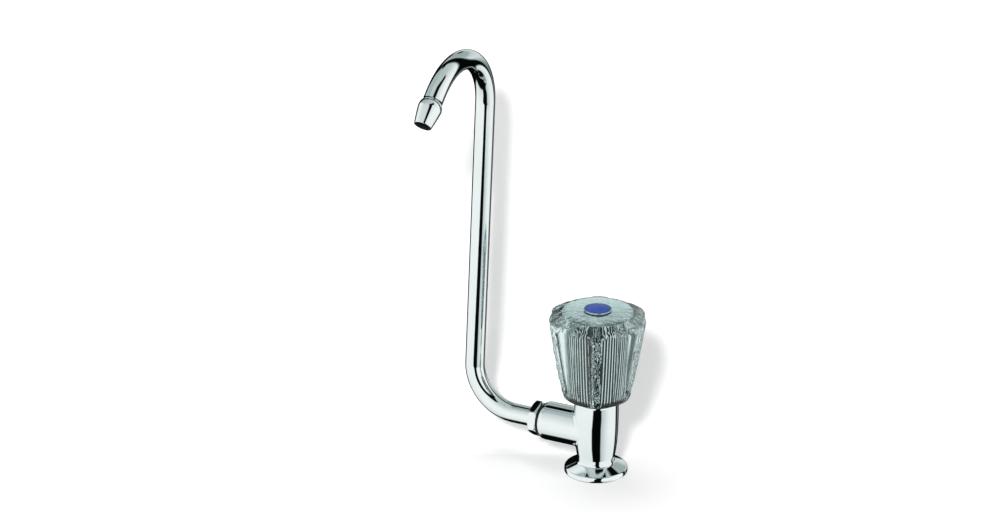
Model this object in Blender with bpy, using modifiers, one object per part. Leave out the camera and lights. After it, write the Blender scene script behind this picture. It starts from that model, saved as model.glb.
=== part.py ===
# Cold water pillar tap: cast body, crystal knob, folding swan-neck spout.
#
# Metres, +Z up. The origin is the centre of the base's underside. The side boss
# points along -X, and the spout's hook leans out along -Y, the tap's front.
# Every radius is worked out from the inside of the tap to its outside, and every
# height from the base up, so one changed size carries its neighbours with it.

import math

import bmesh
import bpy
from mathutils import Matrix, Vector

# Clearances
SEAT_GAP = 0.0003            # between faces that touch on the real tap
RUN_GAP = 0.0003             # beside a piece that turns or slides
RING_GAP = 0.0002            # on each side of a rubber ring in its groove

# Base and pillar of the cast body
INLET_RADIUS = 0.0058        # socket under the base
INLET_DEPTH = 0.0085
NECK_WALL = 0.0029           # pillar's wall at its narrow foot
FLANGE_OVERHANG = 0.0073     # flange beyond the neck
FLANGE_FOOT_ROUND = 0.0006
FLANGE_RIM_ROUND = 0.0011
FLANGE_RIM_HEIGHT = 0.0016   # up to where the rim starts to round over
FLANGE_CONE_RISE = 0.0018    # rim's shoulder up to the neck
FLANGE_CONE_SLOPE = 16.0     # degrees, at the rim
NECK_FILLET = 0.0006
PILLAR_FLARE_POWER = 3.5     # how soon the pillar reaches its full width
PILLAR_WALL = 0.0038         # at the top, around the headwork
PILLAR_EDGE = 0.0005
BASE_GROOVE_INSET = 0.0021   # neck to the sealing groove
BASE_SEAL_WIDTH = 0.0024
BASE_SEAL_HEIGHT = 0.0013

# Side boss and gland
BOSS_RISE = 0.0174           # neck up to the boss's axis
BOSS_LENGTH = 0.0291         # pillar's axis to the boss's mouth
BOSS_WALL = 0.0026
BOSS_MOUTH_ROUND = 0.0031    # how far back from the mouth the rounding starts
BOSS_MOUTH_DROP = 0.0014     # and how far it draws the edge in
NUT_THREAD_LENGTH = 0.0055
NUT_COLLAR_LENGTH = 0.0013   # dark groove between the mouth and the hexagon
NUT_COLLAR_STEP = 0.0005
NUT_HEX_STEP = 0.0011        # hexagon's flat beyond the thread
NUT_HEX_LENGTH = 0.0043
NUT_HEX_ROLL = 40.0          # degrees from a flat on top; one flat then faces the front
NUT_CHAMFER = 30.0           # degrees

# Spout
TUBE_RADIUS = 0.0050
TUBE_WALL = 0.0010
TUBE_RUN = 0.0110            # nut to the lower bend
LOWER_BEND_RADIUS = 0.0230
RISER_LEAN = 2.5             # degrees past upright, towards the pillar
RISER_HEIGHT = 0.1648        # boss's axis up to the hook
HOOK_RADIUS = 0.0300
HOOK_TURN = 135.0            # degrees
HOOK_TAIL = 0.0050           # straight end above the nozzle
SPOUT_RING_SECTION = 0.0016  # rubber ring's thickness
SPOUT_SPACER_LENGTH = 0.0015
RETAINING_RING_LENGTH = 0.0010
RETAINING_RING_REACH = 0.0013  # beyond the tube
RETAINING_GROOVE_DEPTH = 0.0006
SPOUT_WASHER_LENGTH = 0.0010
RETAINING_RING_SLOT = 0.0030

# Nozzle
NOZZLE_LENGTH = 0.0140
NOZZLE_BULGE = 0.0010        # widest point beyond the tube
NOZZLE_BULGE_AT = 0.0045     # from the joint
NOZZLE_MOUTH_INSET = 0.0005  # mouth's edge inside the tube's radius
NOZZLE_WALL = 0.0010
NOZZLE_EDGE = 0.0003
SPIGOT_WALL = 0.0008
SPIGOT_MARGIN = 0.0009       # spigot ends this far before the bend
MOUTH_DEPTH = 0.0080

# Valve inside the pillar
SPINDLE_RADIUS = 0.0032
COLLAR_STEP = 0.0016
COLLAR_LENGTH = 0.0020
HOUSING_WALL = 0.0012        # outside the guide's corners
CHAMBER_STEP = 0.0005        # headwork bore to the chamber below it
CHAMBER_FLOOR_DROP = 0.0048  # below the spout's passage
SEAT_LIP_HEIGHT = 0.0020
SEAT_LIP_WIDTH = 0.0014
ORIFICE_RADIUS = 0.0032
SEAT_WASHER_MARGIN = 0.0004  # washer beyond the lip
SEAT_WASHER_LENGTH = 0.0025
PISTON_PLATE_LENGTH = 0.0020
PISTON_BORE_DEPTH = 0.0109
VALVE_LIFT = 0.00375         # one and a half turns at 2.5 mm each
SPINDLE_SCREW_STEP = 0.0006  # stem down to the lifting screw
SKIRT_CLEARANCE = 0.0022     # spout's passage up to the housing's skirt
THRUST_WASHER_LENGTH = 0.0006
SHOULDER_DEPTH = 0.00075     # housing's shoulder below the pillar's top
WASHER_SCREW_RADIUS = 0.0010
WASHER_SCREW_HEAD_RADIUS = 0.0020
WASHER_SCREW_HEAD_LENGTH = 0.0012

# Headwork above the pillar
GASKET_LENGTH = 0.0008
GASKET_INSET = 0.0003        # inside the housing's flange
HOUSING_FLANGE_LAND = 0.0016 # flange beyond the bore
HOUSING_FLANGE_LENGTH = 0.0012
HOUSING_HEX_LENGTH = 0.0030
HOUSING_HEX_INSET = 0.0002   # hexagon's corners inside the flange
BARREL_LENGTH = 0.0110
BARREL_WALL = 0.0022
SPINDLE_RING_SECTION = 0.0010
SPINDLE_RING_HEIGHTS = (0.0024, 0.0074)   # above the housing's hexagon
CLIP_LENGTH = 0.0008
CLIP_GROOVE_DEPTH = 0.0009
CLIP_REACH = 0.0016          # beyond the spindle
CLIP_SLOT = 0.0036
STEM_LAND = 0.0008           # spindle above the clip's groove, where the knob seats
SPLINE_STEP = 0.0005         # stem down to the spline's tips
SPLINE_DEPTH = 0.0003
SPLINE_LENGTH = 0.0100
SPLINE_COUNT = 18
SPLINE_WALL = 0.0006         # around the handle screw's hole
SCREW_HOLE_DEPTH = 0.0085
HANDLE_SCREW_REACH = 0.0070  # into the spindle
HANDLE_SCREW_HEAD_STEP = 0.0020
HANDLE_SCREW_HEAD_LENGTH = 0.0020
SCREW_SLOT_WIDTH = 0.0008
SCREW_SLOT_DEPTH = 0.0009

# Knob
KNOB_LIFT = 0.0022           # knob's foot above the pillar
KNOB_HEIGHT = 0.0418         # foot to rim
KNOB_DOME_RISE = 0.0055      # rim to the edge of the index disc
KNOB_DOME_POWER = 2.6        # how soon the dome rises from the rim
KNOB_FOOT_WALL = 0.0044      # crystal outside the core, at the foot
KNOB_SHOULDER_STEP = 0.0038  # shoulder beyond the foot
KNOB_SHOULDER_HEIGHT = 0.0038
KNOB_FLARE = 0.0068          # rim beyond the shoulder
KNOB_FLARE_POWER = 0.85
KNOB_RIM_ROUND = 0.0010
KNOB_RIDGES = 6              # broad ridges, with a narrow one halfway between each pair
KNOB_TURN = -6.3             # degrees from +X to a broad ridge
KNOB_RIDGE_HALF = 5.0        # half of a broad ridge's width, in degrees
KNOB_NARROW_SHARE = 0.943    # narrow ridge's radius as a share of the broad one's
KNOB_SCOOP = 0.035           # how far a flute lies inside the line between its ridges, as a share
KNOB_FACET_RUN = 0.0100      # height over which round becomes ridged
KNOB_TOP_WALL = 0.0010       # rim's height above the core
CORE_WALL = 0.0009
CORE_RIB_DEPTH = 0.0004
CORE_RIBS = 72
CORE_PLATE = 0.0012
CORE_HUB_WALL = 0.0016
CORE_WEB = 0.0025
HUB_PLATE = 0.0015
INDEX_RADIUS = 0.0065
INDEX_CROWN = 0.0006         # disc's rise from edge to centre
INDEX_DISC = 0.0012
INDEX_SKIRT_WALL = 0.0008
INDEX_SKIRT_LENGTH = 0.0045

# Facets
PILLAR_STEPS = 40
SMALL_STEPS = 28
RING_STEPS = 24
KNOB_STEPS = 72
OVERCUT = 0.001              # how far a cutter runs past what it cuts

# Radii, from the spindle out to the pillar
COLLAR_RADIUS = SPINDLE_RADIUS + COLLAR_STEP
GUIDE_FLAT = COLLAR_RADIUS + RUN_GAP                    # housing's hexagon guide
GUIDE_CORNER = GUIDE_FLAT / math.cos(math.pi / 6)
SKIRT_RADIUS = GUIDE_CORNER + HOUSING_WALL
HEAD_BORE_RADIUS = SKIRT_RADIUS + SEAT_GAP
PILLAR_RADIUS = HEAD_BORE_RADIUS + PILLAR_WALL
CHAMBER_RADIUS = HEAD_BORE_RADIUS - CHAMBER_STEP
PISTON_FLAT = GUIDE_FLAT - RUN_GAP
SPINDLE_SCREW_RADIUS = SPINDLE_RADIUS - SPINDLE_SCREW_STEP
NECK_RADIUS = INLET_RADIUS + NECK_WALL
FLANGE_RADIUS = NECK_RADIUS + FLANGE_OVERHANG
SEAT_LIP_RADIUS = ORIFICE_RADIUS + SEAT_LIP_WIDTH
SEAT_WASHER_RADIUS = SEAT_LIP_RADIUS + SEAT_WASHER_MARGIN

# Radii, from the spout tube out to the boss
PASSAGE_RADIUS = TUBE_RADIUS - TUBE_WALL
BOSS_BORE_RADIUS = TUBE_RADIUS + 2 * SEAT_GAP + SPOUT_RING_SECTION
BOSS_RADIUS = BOSS_BORE_RADIUS + BOSS_WALL
NUT_BORE_RADIUS = TUBE_RADIUS + RUN_GAP
NUT_THREAD_RADIUS = BOSS_BORE_RADIUS - SEAT_GAP
NUT_FLAT = NUT_THREAD_RADIUS + NUT_HEX_STEP

# Radii inside the knob
SPINDLE_BORE_RADIUS = SPINDLE_RADIUS + RUN_GAP
BARREL_RADIUS = SPINDLE_BORE_RADIUS + BARREL_WALL
HOUSING_FLANGE_RADIUS = HEAD_BORE_RADIUS + HOUSING_FLANGE_LAND
SPLINE_TIP = SPINDLE_RADIUS - SPLINE_STEP
SPLINE_ROOT = SPLINE_TIP - SPLINE_DEPTH
SCREW_HOLE_RADIUS = SPLINE_ROOT - SPLINE_WALL
HANDLE_SCREW_RADIUS = SCREW_HOLE_RADIUS - SEAT_GAP
HUB_RADIUS = SPLINE_TIP + SEAT_GAP + CORE_HUB_WALL
CORE_BORE_RADIUS = HOUSING_FLANGE_RADIUS + RUN_GAP
CORE_ROOT = CORE_BORE_RADIUS + CORE_WALL
CORE_TIP = CORE_ROOT + CORE_RIB_DEPTH
KNOB_BORE_RADIUS = CORE_TIP + SEAT_GAP
INDEX_HOLE_RADIUS = INDEX_RADIUS + SEAT_GAP
KNOB_FOOT_RADIUS = KNOB_BORE_RADIUS + KNOB_FOOT_WALL
KNOB_SHOULDER_RADIUS = KNOB_FOOT_RADIUS + KNOB_SHOULDER_STEP
KNOB_RIM_RADIUS = KNOB_SHOULDER_RADIUS + KNOB_FLARE

# Heights, from the base up
CONE_ANGLE = math.radians(FLANGE_CONE_SLOPE)
CONE_FOOT_Z = FLANGE_RIM_HEIGHT + FLANGE_RIM_ROUND * math.cos(CONE_ANGLE)
NECK_Z = CONE_FOOT_Z + FLANGE_CONE_RISE
BOSS_Z = NECK_Z + BOSS_RISE
CHAMBER_FLOOR_Z = BOSS_Z - PASSAGE_RADIUS - CHAMBER_FLOOR_DROP
SEAT_Z = CHAMBER_FLOOR_Z + SEAT_LIP_HEIGHT
SEAT_WASHER_Z = SEAT_Z + SEAT_GAP
PISTON_Z = SEAT_WASHER_Z + SEAT_WASHER_LENGTH + SEAT_GAP
PLATE_TOP_Z = PISTON_Z + PISTON_PLATE_LENGTH
PISTON_TOP_Z = PLATE_TOP_Z + PISTON_BORE_DEPTH
SPINDLE_FOOT_Z = PLATE_TOP_Z + VALVE_LIFT + RUN_GAP
COLLAR_Z = PISTON_TOP_Z + VALVE_LIFT + RUN_GAP
THRUST_WASHER_Z = COLLAR_Z + COLLAR_LENGTH + SEAT_GAP
SHOULDER_Z = THRUST_WASHER_Z + THRUST_WASHER_LENGTH + SEAT_GAP
PILLAR_TOP_Z = SHOULDER_Z + SHOULDER_DEPTH
SKIRT_Z = BOSS_Z + PASSAGE_RADIUS + SKIRT_CLEARANCE
GASKET_Z = PILLAR_TOP_Z + SEAT_GAP
HOUSING_FLANGE_Z = GASKET_Z + GASKET_LENGTH + SEAT_GAP
HOUSING_HEX_Z = HOUSING_FLANGE_Z + HOUSING_FLANGE_LENGTH
BARREL_Z = HOUSING_HEX_Z + HOUSING_HEX_LENGTH
BARREL_TOP_Z = BARREL_Z + BARREL_LENGTH
CLIP_Z = BARREL_TOP_Z + SEAT_GAP
STEM_TOP_Z = CLIP_Z + CLIP_LENGTH + SEAT_GAP + STEM_LAND
SPINDLE_TOP_Z = STEM_TOP_Z + SPLINE_LENGTH
HUB_Z = STEM_TOP_Z + SEAT_GAP
HUB_PLATE_Z = SPINDLE_TOP_Z + SEAT_GAP
HUB_TOP_Z = HUB_PLATE_Z + HUB_PLATE
HANDLE_SCREW_Z = HUB_TOP_Z + SEAT_GAP
KNOB_Z = PILLAR_TOP_Z + KNOB_LIFT
KNOB_RIM_Z = KNOB_Z + KNOB_HEIGHT
CORE_TOP_Z = KNOB_RIM_Z - KNOB_TOP_WALL
KNOB_CAVITY_Z = CORE_TOP_Z + SEAT_GAP
KNOB_CROWN_Z = KNOB_RIM_Z + KNOB_DOME_RISE
INDEX_TOP_Z = KNOB_CROWN_Z + INDEX_CROWN

# Distances along the boss, from the pillar's axis, worked out from the mouth in
NUT_THREAD_S = BOSS_LENGTH - NUT_THREAD_LENGTH
SPOUT_WASHER_S = NUT_THREAD_S - SEAT_GAP - SPOUT_WASHER_LENGTH
RETAINING_RING_S = SPOUT_WASHER_S - SEAT_GAP - RETAINING_RING_LENGTH
OUTER_RING_S = RETAINING_RING_S - SEAT_GAP - SPOUT_RING_SECTION
SPOUT_SPACER_S = OUTER_RING_S - SEAT_GAP - SPOUT_SPACER_LENGTH
INNER_RING_S = SPOUT_SPACER_S - SEAT_GAP - SPOUT_RING_SECTION
BOSS_BORE_S = INNER_RING_S - SEAT_GAP
TUBE_END_S = BOSS_BORE_S + SEAT_GAP
NUT_COLLAR_S = BOSS_LENGTH + SEAT_GAP
NUT_HEX_S = NUT_COLLAR_S + NUT_COLLAR_LENGTH
NUT_END_S = NUT_HEX_S + NUT_HEX_LENGTH
LOWER_BEND_S = NUT_END_S + TUBE_RUN

# Colour, roughness, metallic, transmission
FINISHES = {
    "chrome": ((0.78, 0.82, 0.83), 0.06, 1.0, 0.0),
    "brass": ((0.78, 0.60, 0.28), 0.30, 1.0, 0.0),
    "steel": ((0.62, 0.62, 0.62), 0.25, 1.0, 0.0),
    "rubber": ((0.03, 0.03, 0.03), 0.70, 0.0, 0.0),
    "nylon": ((0.85, 0.84, 0.80), 0.45, 0.0, 0.0),
    "fibre": ((0.45, 0.12, 0.08), 0.80, 0.0, 0.0),
    "crystal": ((0.90, 0.96, 0.96), 0.03, 0.0, 1.0),
    "silvering": ((0.62, 0.66, 0.67), 0.15, 1.0, 0.0),
    "blue": ((0.05, 0.07, 0.42), 0.35, 0.0, 0.0),
}

for old in list(bpy.data.objects):
    bpy.data.objects.remove(old, do_unlink=True)

tap = bpy.data.collections.new("cold_water_tap")
cutters = bpy.data.collections.new("cutters")
bpy.context.scene.collection.children.link(tap)
bpy.context.scene.collection.children.link(cutters)


def add_axis(name, location):
    # Empty on a joint's axis; the pieces that move there are its children.
    axis = bpy.data.objects.new(name, None)
    axis.empty_display_size = 0.01
    axis.location = location
    tap.objects.link(axis)
    return axis


spout_axis = add_axis("spout_swivel_axis", (0, 0, BOSS_Z))
knob_axis = add_axis("knob_turn_axis", (0, 0, 0))
lift_axis = add_axis("valve_lift_axis", (0, 0, 0))


def add_part(name, mesh, finish, parent=None):
    # One sub-part, with a material of its own.
    part = bpy.data.objects.new(name, mesh)
    part.parent = parent
    tap.objects.link(part)
    color, roughness, metallic, transmission = FINISHES[finish]
    material = bpy.data.materials.new(f"{name}_{finish}")
    material.use_nodes = True
    shader = material.node_tree.nodes["Principled BSDF"]
    shader.inputs["Base Color"].default_value = (*color, 1.0)
    shader.inputs["Roughness"].default_value = roughness
    shader.inputs["Metallic"].default_value = metallic
    shader.inputs["Transmission Weight"].default_value = transmission
    mesh.materials.clear()
    mesh.materials.append(material)
    return part


def add_cutter(name, mesh):
    cutter = bpy.data.objects.new(name, mesh)
    cutter.hide_render = True
    cutter.display_type = "WIRE"
    cutters.objects.link(cutter)
    return cutter


def along_boss(thing):
    # Turns a shape built along +Z to run along the boss, out from the pillar.
    if thing.parent is None:
        thing.location = (0, 0, BOSS_Z)
    thing.rotation_euler = (0, -math.pi / 2, 0)
    return thing


def boolean(part, operation, *others):
    for other in others:
        step = part.modifiers.new(other.name, "BOOLEAN")
        step.operation = operation
        step.solver = "EXACT"
        step.object = other
    return part


def cut(part, *others):
    return boolean(part, "DIFFERENCE", *others)


def join(part, *others):
    return boolean(part, "UNION", *others)


def arc(radius_centre, height_centre, radius, start, end, count):
    # Points of a profile's round stretch; angles in degrees, 0 points outward.
    points = []
    for i in range(count):
        angle = math.radians(start + (end - start) * i / (count - 1))
        points.append((radius_centre + radius * math.cos(angle),
                       height_centre + radius * math.sin(angle)))
    return points


def smoothed(mesh):
    mesh.shade_smooth()
    mesh.set_sharp_from_angle(angle=math.radians(35))
    return mesh


def evaluated_mesh(thing):
    # The mesh that an object's modifiers or curve make, with shared corners.
    graph = bpy.context.evaluated_depsgraph_get()
    mesh = bpy.data.meshes.new_from_object(thing.evaluated_get(graph))
    shape = bmesh.new()
    shape.from_mesh(mesh)
    bmesh.ops.remove_doubles(shape, verts=shape.verts, dist=0.000005)
    bmesh.ops.recalc_face_normals(shape, faces=shape.faces)
    shape.to_mesh(mesh)
    shape.free()
    return mesh


def turned(name, profile, steps=SMALL_STEPS):
    # Turns (radius, height) points about Z. The profile runs down its outer side;
    # one that stays off the axis is closed into a ring.
    mesh = bpy.data.meshes.new(f"{name}_profile")
    edges = [(i, i + 1) for i in range(len(profile) - 1)]
    if profile[0][0] > 0 or profile[-1][0] > 0:
        edges.append((len(profile) - 1, 0))
    mesh.from_pydata([(radius, 0, height) for radius, height in profile], edges, [])
    blank = bpy.data.objects.new(f"{name}_profile", mesh)
    cutters.objects.link(blank)
    screw = blank.modifiers.new("Screw", "SCREW")
    screw.angle = 2 * math.pi
    screw.steps = steps
    screw.render_steps = steps
    screw.use_merge_vertices = True
    screw.merge_threshold = 0.00001
    shape = evaluated_mesh(blank)
    shape.name = name
    bpy.data.objects.remove(blank, do_unlink=True)
    return smoothed(shape)


def ring(name, inner, outer, low, length, steps=SMALL_STEPS):
    # Flat ring with square edges.
    high = low + length
    profile = [(outer, high), (outer, low), (inner, low), (inner, high)]
    return turned(name, profile, steps)


def plug(name, radius, low, high, steps=SMALL_STEPS):
    # Solid round bar.
    return turned(name, [(0, high), (radius, high), (radius, low), (0, low)], steps)


def rubber_ring(name, inner, section, low):
    # Round-section ring lying on the height `low`.
    half = section / 2
    profile = arc(inner + half, low + half, half, 0, -315, 8)
    return turned(name, profile, RING_STEPS)


def hexagon(name, flat, low, high, roll=0.0):
    # Six-sided bar; `flat` is half the distance across its flats.
    shape = bmesh.new()
    corner = flat / math.cos(math.pi / 6)
    place = Matrix.Translation((0, 0, (low + high) / 2)) @ Matrix.Rotation(math.radians(roll), 4, "Z")
    bmesh.ops.create_cone(shape, cap_ends=True, segments=6, radius1=corner, radius2=corner,
                          depth=high - low, matrix=place)
    mesh = bpy.data.meshes.new(name)
    shape.to_mesh(mesh)
    shape.free()
    return mesh


def box(name, size, centre):
    shape = bmesh.new()
    place = Matrix.Translation(centre) @ Matrix.Diagonal((*size, 1.0))
    bmesh.ops.create_cube(shape, size=1.0, matrix=place)
    mesh = bpy.data.meshes.new(name)
    shape.to_mesh(mesh)
    shape.free()
    return mesh


def lofted(name, rings, closed):
    # Skin over rings of points. A closed loft joins its last ring to its first;
    # an open one gets a flat face on each end.
    shape = bmesh.new()
    rows = [[shape.verts.new(point) for point in loop] for loop in rings]
    pairs = list(zip(rows, rows[1:]))
    if closed:
        pairs.append((rows[-1], rows[0]))
    else:
        shape.faces.new(rows[0])
        shape.faces.new(rows[-1])
    for low, high in pairs:
        for i in range(len(low)):
            j = (i + 1) % len(low)
            shape.faces.new((low[i], low[j], high[j], high[i]))
    bmesh.ops.recalc_face_normals(shape, faces=shape.faces)
    mesh = bpy.data.meshes.new(name)
    shape.to_mesh(mesh)
    shape.free()
    return smoothed(mesh)


def circle(radius, height, count):
    turns = [2 * math.pi * i / count for i in range(count)]
    return [(radius * math.cos(a), radius * math.sin(a), height) for a in turns]


def toothed_bar(name, tip, root, teeth, low, high):
    # Straight bar with pointed teeth: V-shaped ribs and grooves of equal width.
    rings = []
    for height in (low, high):
        loop = circle(tip, height, 2 * teeth)
        for i in range(1, 2 * teeth, 2):
            x, y, z = loop[i]
            loop[i] = (x * root / tip, y * root / tip, z)
        rings.append(loop)
    return lofted(name, rings, closed=False)


def pillar_outline():
    # Half outline of the casting, from the centre of its top round to its underside.
    rise = PILLAR_TOP_Z - PILLAR_EDGE - NECK_Z
    outline = [(0, PILLAR_TOP_Z)]
    outline += arc(PILLAR_RADIUS - PILLAR_EDGE, PILLAR_TOP_Z - PILLAR_EDGE, PILLAR_EDGE, 90, 0, 3)
    for share in (0.75, 0.55, 0.38, 0.25, 0.15, 0.07, 0.0):
        flare = (PILLAR_RADIUS - NECK_RADIUS) * (1 - share) ** PILLAR_FLARE_POWER
        outline.append((PILLAR_RADIUS - flare, NECK_Z + rise * share))
    rim = FLANGE_RADIUS - FLANGE_RIM_ROUND
    outline.append((NECK_RADIUS + NECK_FILLET, NECK_Z - NECK_FILLET))
    outline += arc(rim, FLANGE_RIM_HEIGHT, FLANGE_RIM_ROUND, 90 - FLANGE_CONE_SLOPE, 0, 4)
    outline += arc(FLANGE_RADIUS - FLANGE_FOOT_ROUND, FLANGE_FOOT_ROUND, FLANGE_FOOT_ROUND, 0, -90, 3)
    outline.append((0, 0))
    return outline


def boss_outline():
    drop = min(BOSS_MOUTH_DROP, BOSS_WALL - SEAT_GAP)
    outline = [(0, BOSS_LENGTH)]
    for angle in (90, 60, 30, 0):
        turn = math.radians(angle)
        outline.append((BOSS_RADIUS - drop * (1 - math.cos(turn)),
                        BOSS_LENGTH - BOSS_MOUTH_ROUND * (1 - math.sin(turn))))
    outline += [(BOSS_RADIUS, 0), (0, 0)]
    return outline


def make_valve_body():
    body = add_part("valve_body", turned("valve_body", pillar_outline(), PILLAR_STEPS), "chrome")
    boss = along_boss(add_cutter("boss", turned("boss", boss_outline(), PILLAR_STEPS)))
    join(body, boss)

    step_z = SKIRT_Z - SEAT_GAP
    chamber = turned("chamber", [
        (0, PILLAR_TOP_Z + OVERCUT),
        (HEAD_BORE_RADIUS, PILLAR_TOP_Z + OVERCUT),
        (HEAD_BORE_RADIUS, step_z),
        (CHAMBER_RADIUS, step_z),
        (CHAMBER_RADIUS, CHAMBER_FLOOR_Z),
        (SEAT_LIP_RADIUS, CHAMBER_FLOOR_Z),
        (SEAT_LIP_RADIUS, SEAT_Z),
        (0, SEAT_Z)])
    inlet = turned("inlet", [
        (0, SEAT_Z + OVERCUT),
        (ORIFICE_RADIUS, SEAT_Z + OVERCUT),
        (ORIFICE_RADIUS, INLET_DEPTH),
        (INLET_RADIUS, INLET_DEPTH),
        (INLET_RADIUS, -OVERCUT),
        (0, -OVERCUT)])
    spout_bore = turned("spout_bore", [
        (0, BOSS_LENGTH + OVERCUT),
        (BOSS_BORE_RADIUS, BOSS_LENGTH + OVERCUT),
        (BOSS_BORE_RADIUS, BOSS_BORE_S),
        (PASSAGE_RADIUS, BOSS_BORE_S),
        (PASSAGE_RADIUS, CHAMBER_RADIUS / 2),
        (0, CHAMBER_RADIUS / 2)])
    groove_radius = NECK_RADIUS + BASE_GROOVE_INSET
    groove_width = BASE_SEAL_WIDTH + 2 * SEAT_GAP
    groove = ring("base_groove", groove_radius, groove_radius + groove_width,
                  -OVERCUT, OVERCUT + BASE_SEAL_HEIGHT + SEAT_GAP)
    cut(body,
        add_cutter("chamber", chamber),
        add_cutter("inlet", inlet),
        along_boss(add_cutter("spout_bore", spout_bore)),
        add_cutter("base_groove", groove))

    seal_radius = groove_radius + SEAT_GAP
    add_part("base_seal", ring("base_seal", seal_radius, seal_radius + BASE_SEAL_WIDTH,
                               0, BASE_SEAL_HEIGHT), "rubber")


def make_gland_nut():
    # Hexagon with chamfered corners, a plain collar and the threaded shank behind it.
    corner = NUT_FLAT / math.cos(math.pi / 6) + OVERCUT
    chamfer = (corner - NUT_FLAT) * math.tan(math.radians(NUT_CHAMFER))
    nut = along_boss(add_part("gland_nut", hexagon(
        "gland_nut", NUT_FLAT, NUT_HEX_S - OVERCUT, NUT_END_S + OVERCUT, NUT_HEX_ROLL), "chrome"))
    envelope = turned("nut_envelope", [
        (0, NUT_END_S),
        (NUT_FLAT, NUT_END_S),
        (corner, NUT_END_S - chamfer),
        (corner, NUT_HEX_S + chamfer),
        (NUT_FLAT, NUT_HEX_S),
        (0, NUT_HEX_S)], PILLAR_STEPS)
    collar = NUT_THREAD_RADIUS + NUT_COLLAR_STEP
    shank = turned("nut_shank", [
        (0, NUT_HEX_S + OVERCUT),
        (collar, NUT_HEX_S + OVERCUT),
        (collar, NUT_COLLAR_S),
        (NUT_THREAD_RADIUS, NUT_COLLAR_S),
        (NUT_THREAD_RADIUS, NUT_THREAD_S),
        (0, NUT_THREAD_S)])
    bore = plug("nut_bore", NUT_BORE_RADIUS, NUT_THREAD_S - OVERCUT, NUT_END_S + OVERCUT)
    boolean(nut, "INTERSECT", along_boss(add_cutter("nut_envelope", envelope)))
    join(nut, along_boss(add_cutter("nut_shank", shank)))
    cut(nut, along_boss(add_cutter("nut_bore", bore)))


def bend(start, heading, side, radius, turn, count):
    # Points along a round bend that turns from `heading` towards `side`, its last
    # heading with them. Both directions are unit vectors at right angles.
    points = []
    for i in range(1, count + 1):
        angle = turn * i / count
        points.append(start + radius * (math.sin(angle) * heading + (1 - math.cos(angle)) * side))
    return points, math.cos(turn) * heading + math.sin(turn) * side


def spout_route():
    # Centre line of the tube from the swivel axis's origin, and the way it ends.
    outward, up, front = Vector((-1, 0, 0)), Vector((0, 0, 1)), Vector((0, -1, 0))
    lean = math.radians(RISER_LEAN)
    points = [outward * TUBE_END_S, outward * LOWER_BEND_S]
    lower, riser = bend(points[-1], outward, up, LOWER_BEND_RADIUS, math.pi / 2 + lean, 10)
    points += lower
    points.append(points[-1] + riser * (RISER_HEIGHT - points[-1].z) / riser.z)
    hook, heading = bend(points[-1], riser, front, HOOK_RADIUS, math.radians(HOOK_TURN), 14)
    points += hook
    points.append(points[-1] + heading * HOOK_TAIL)
    return points, heading


def make_spout():
    points, heading = spout_route()
    curve = bpy.data.curves.new("spout_route", "CURVE")
    curve.dimensions = "3D"
    curve.bevel_depth = TUBE_RADIUS
    curve.bevel_resolution = 6
    spline = curve.splines.new("POLY")
    spline.points.add(len(points) - 1)
    for spot, point in zip(spline.points, points):
        spot.co = (*point, 1.0)
    route = bpy.data.objects.new("spout_route", curve)
    cutters.objects.link(route)
    skin = evaluated_mesh(route)
    bpy.data.objects.remove(route, do_unlink=True)

    tube = add_part("spout_tube", smoothed(skin), "chrome", spout_axis)
    wall = tube.modifiers.new("Wall", "SOLIDIFY")
    wall.thickness = TUBE_WALL
    wall.offset = -1
    wall.use_even_offset = True
    groove_radius = TUBE_RADIUS - RETAINING_GROOVE_DEPTH
    groove = ring("ring_groove", groove_radius, TUBE_RADIUS + OVERCUT,
                  RETAINING_RING_S - SEAT_GAP, RETAINING_RING_LENGTH + 2 * SEAT_GAP)
    cut(tube, along_boss(add_cutter("ring_groove", groove)))

    ring_radius = TUBE_RADIUS + SEAT_GAP
    for name, place in (("spout_o_ring_inner", INNER_RING_S), ("spout_o_ring_outer", OUTER_RING_S)):
        rubber = rubber_ring(name, ring_radius, SPOUT_RING_SECTION, place)
        along_boss(add_part(name, rubber, "rubber", spout_axis))
    along_boss(add_part("spout_spacer_ring", ring(
        "spout_spacer_ring", ring_radius, NUT_THREAD_RADIUS,
        SPOUT_SPACER_S, SPOUT_SPACER_LENGTH), "nylon", spout_axis))
    along_boss(add_part("spout_thrust_washer", ring(
        "spout_thrust_washer", ring_radius, NUT_THREAD_RADIUS,
        SPOUT_WASHER_S, SPOUT_WASHER_LENGTH), "nylon", spout_axis))

    ring_outer = TUBE_RADIUS + RETAINING_RING_REACH
    split_ring = along_boss(add_part("spout_retaining_ring", ring(
        "spout_retaining_ring", groove_radius + SEAT_GAP, ring_outer,
        RETAINING_RING_S, RETAINING_RING_LENGTH), "steel", spout_axis))
    slot = box("ring_slot", (2 * ring_outer, RETAINING_RING_SLOT, 4 * RETAINING_RING_LENGTH),
               (-ring_outer, 0, RETAINING_RING_S))
    cut(split_ring, along_boss(add_cutter("ring_slot", slot)))
    make_nozzle(points[-1], heading)


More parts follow.
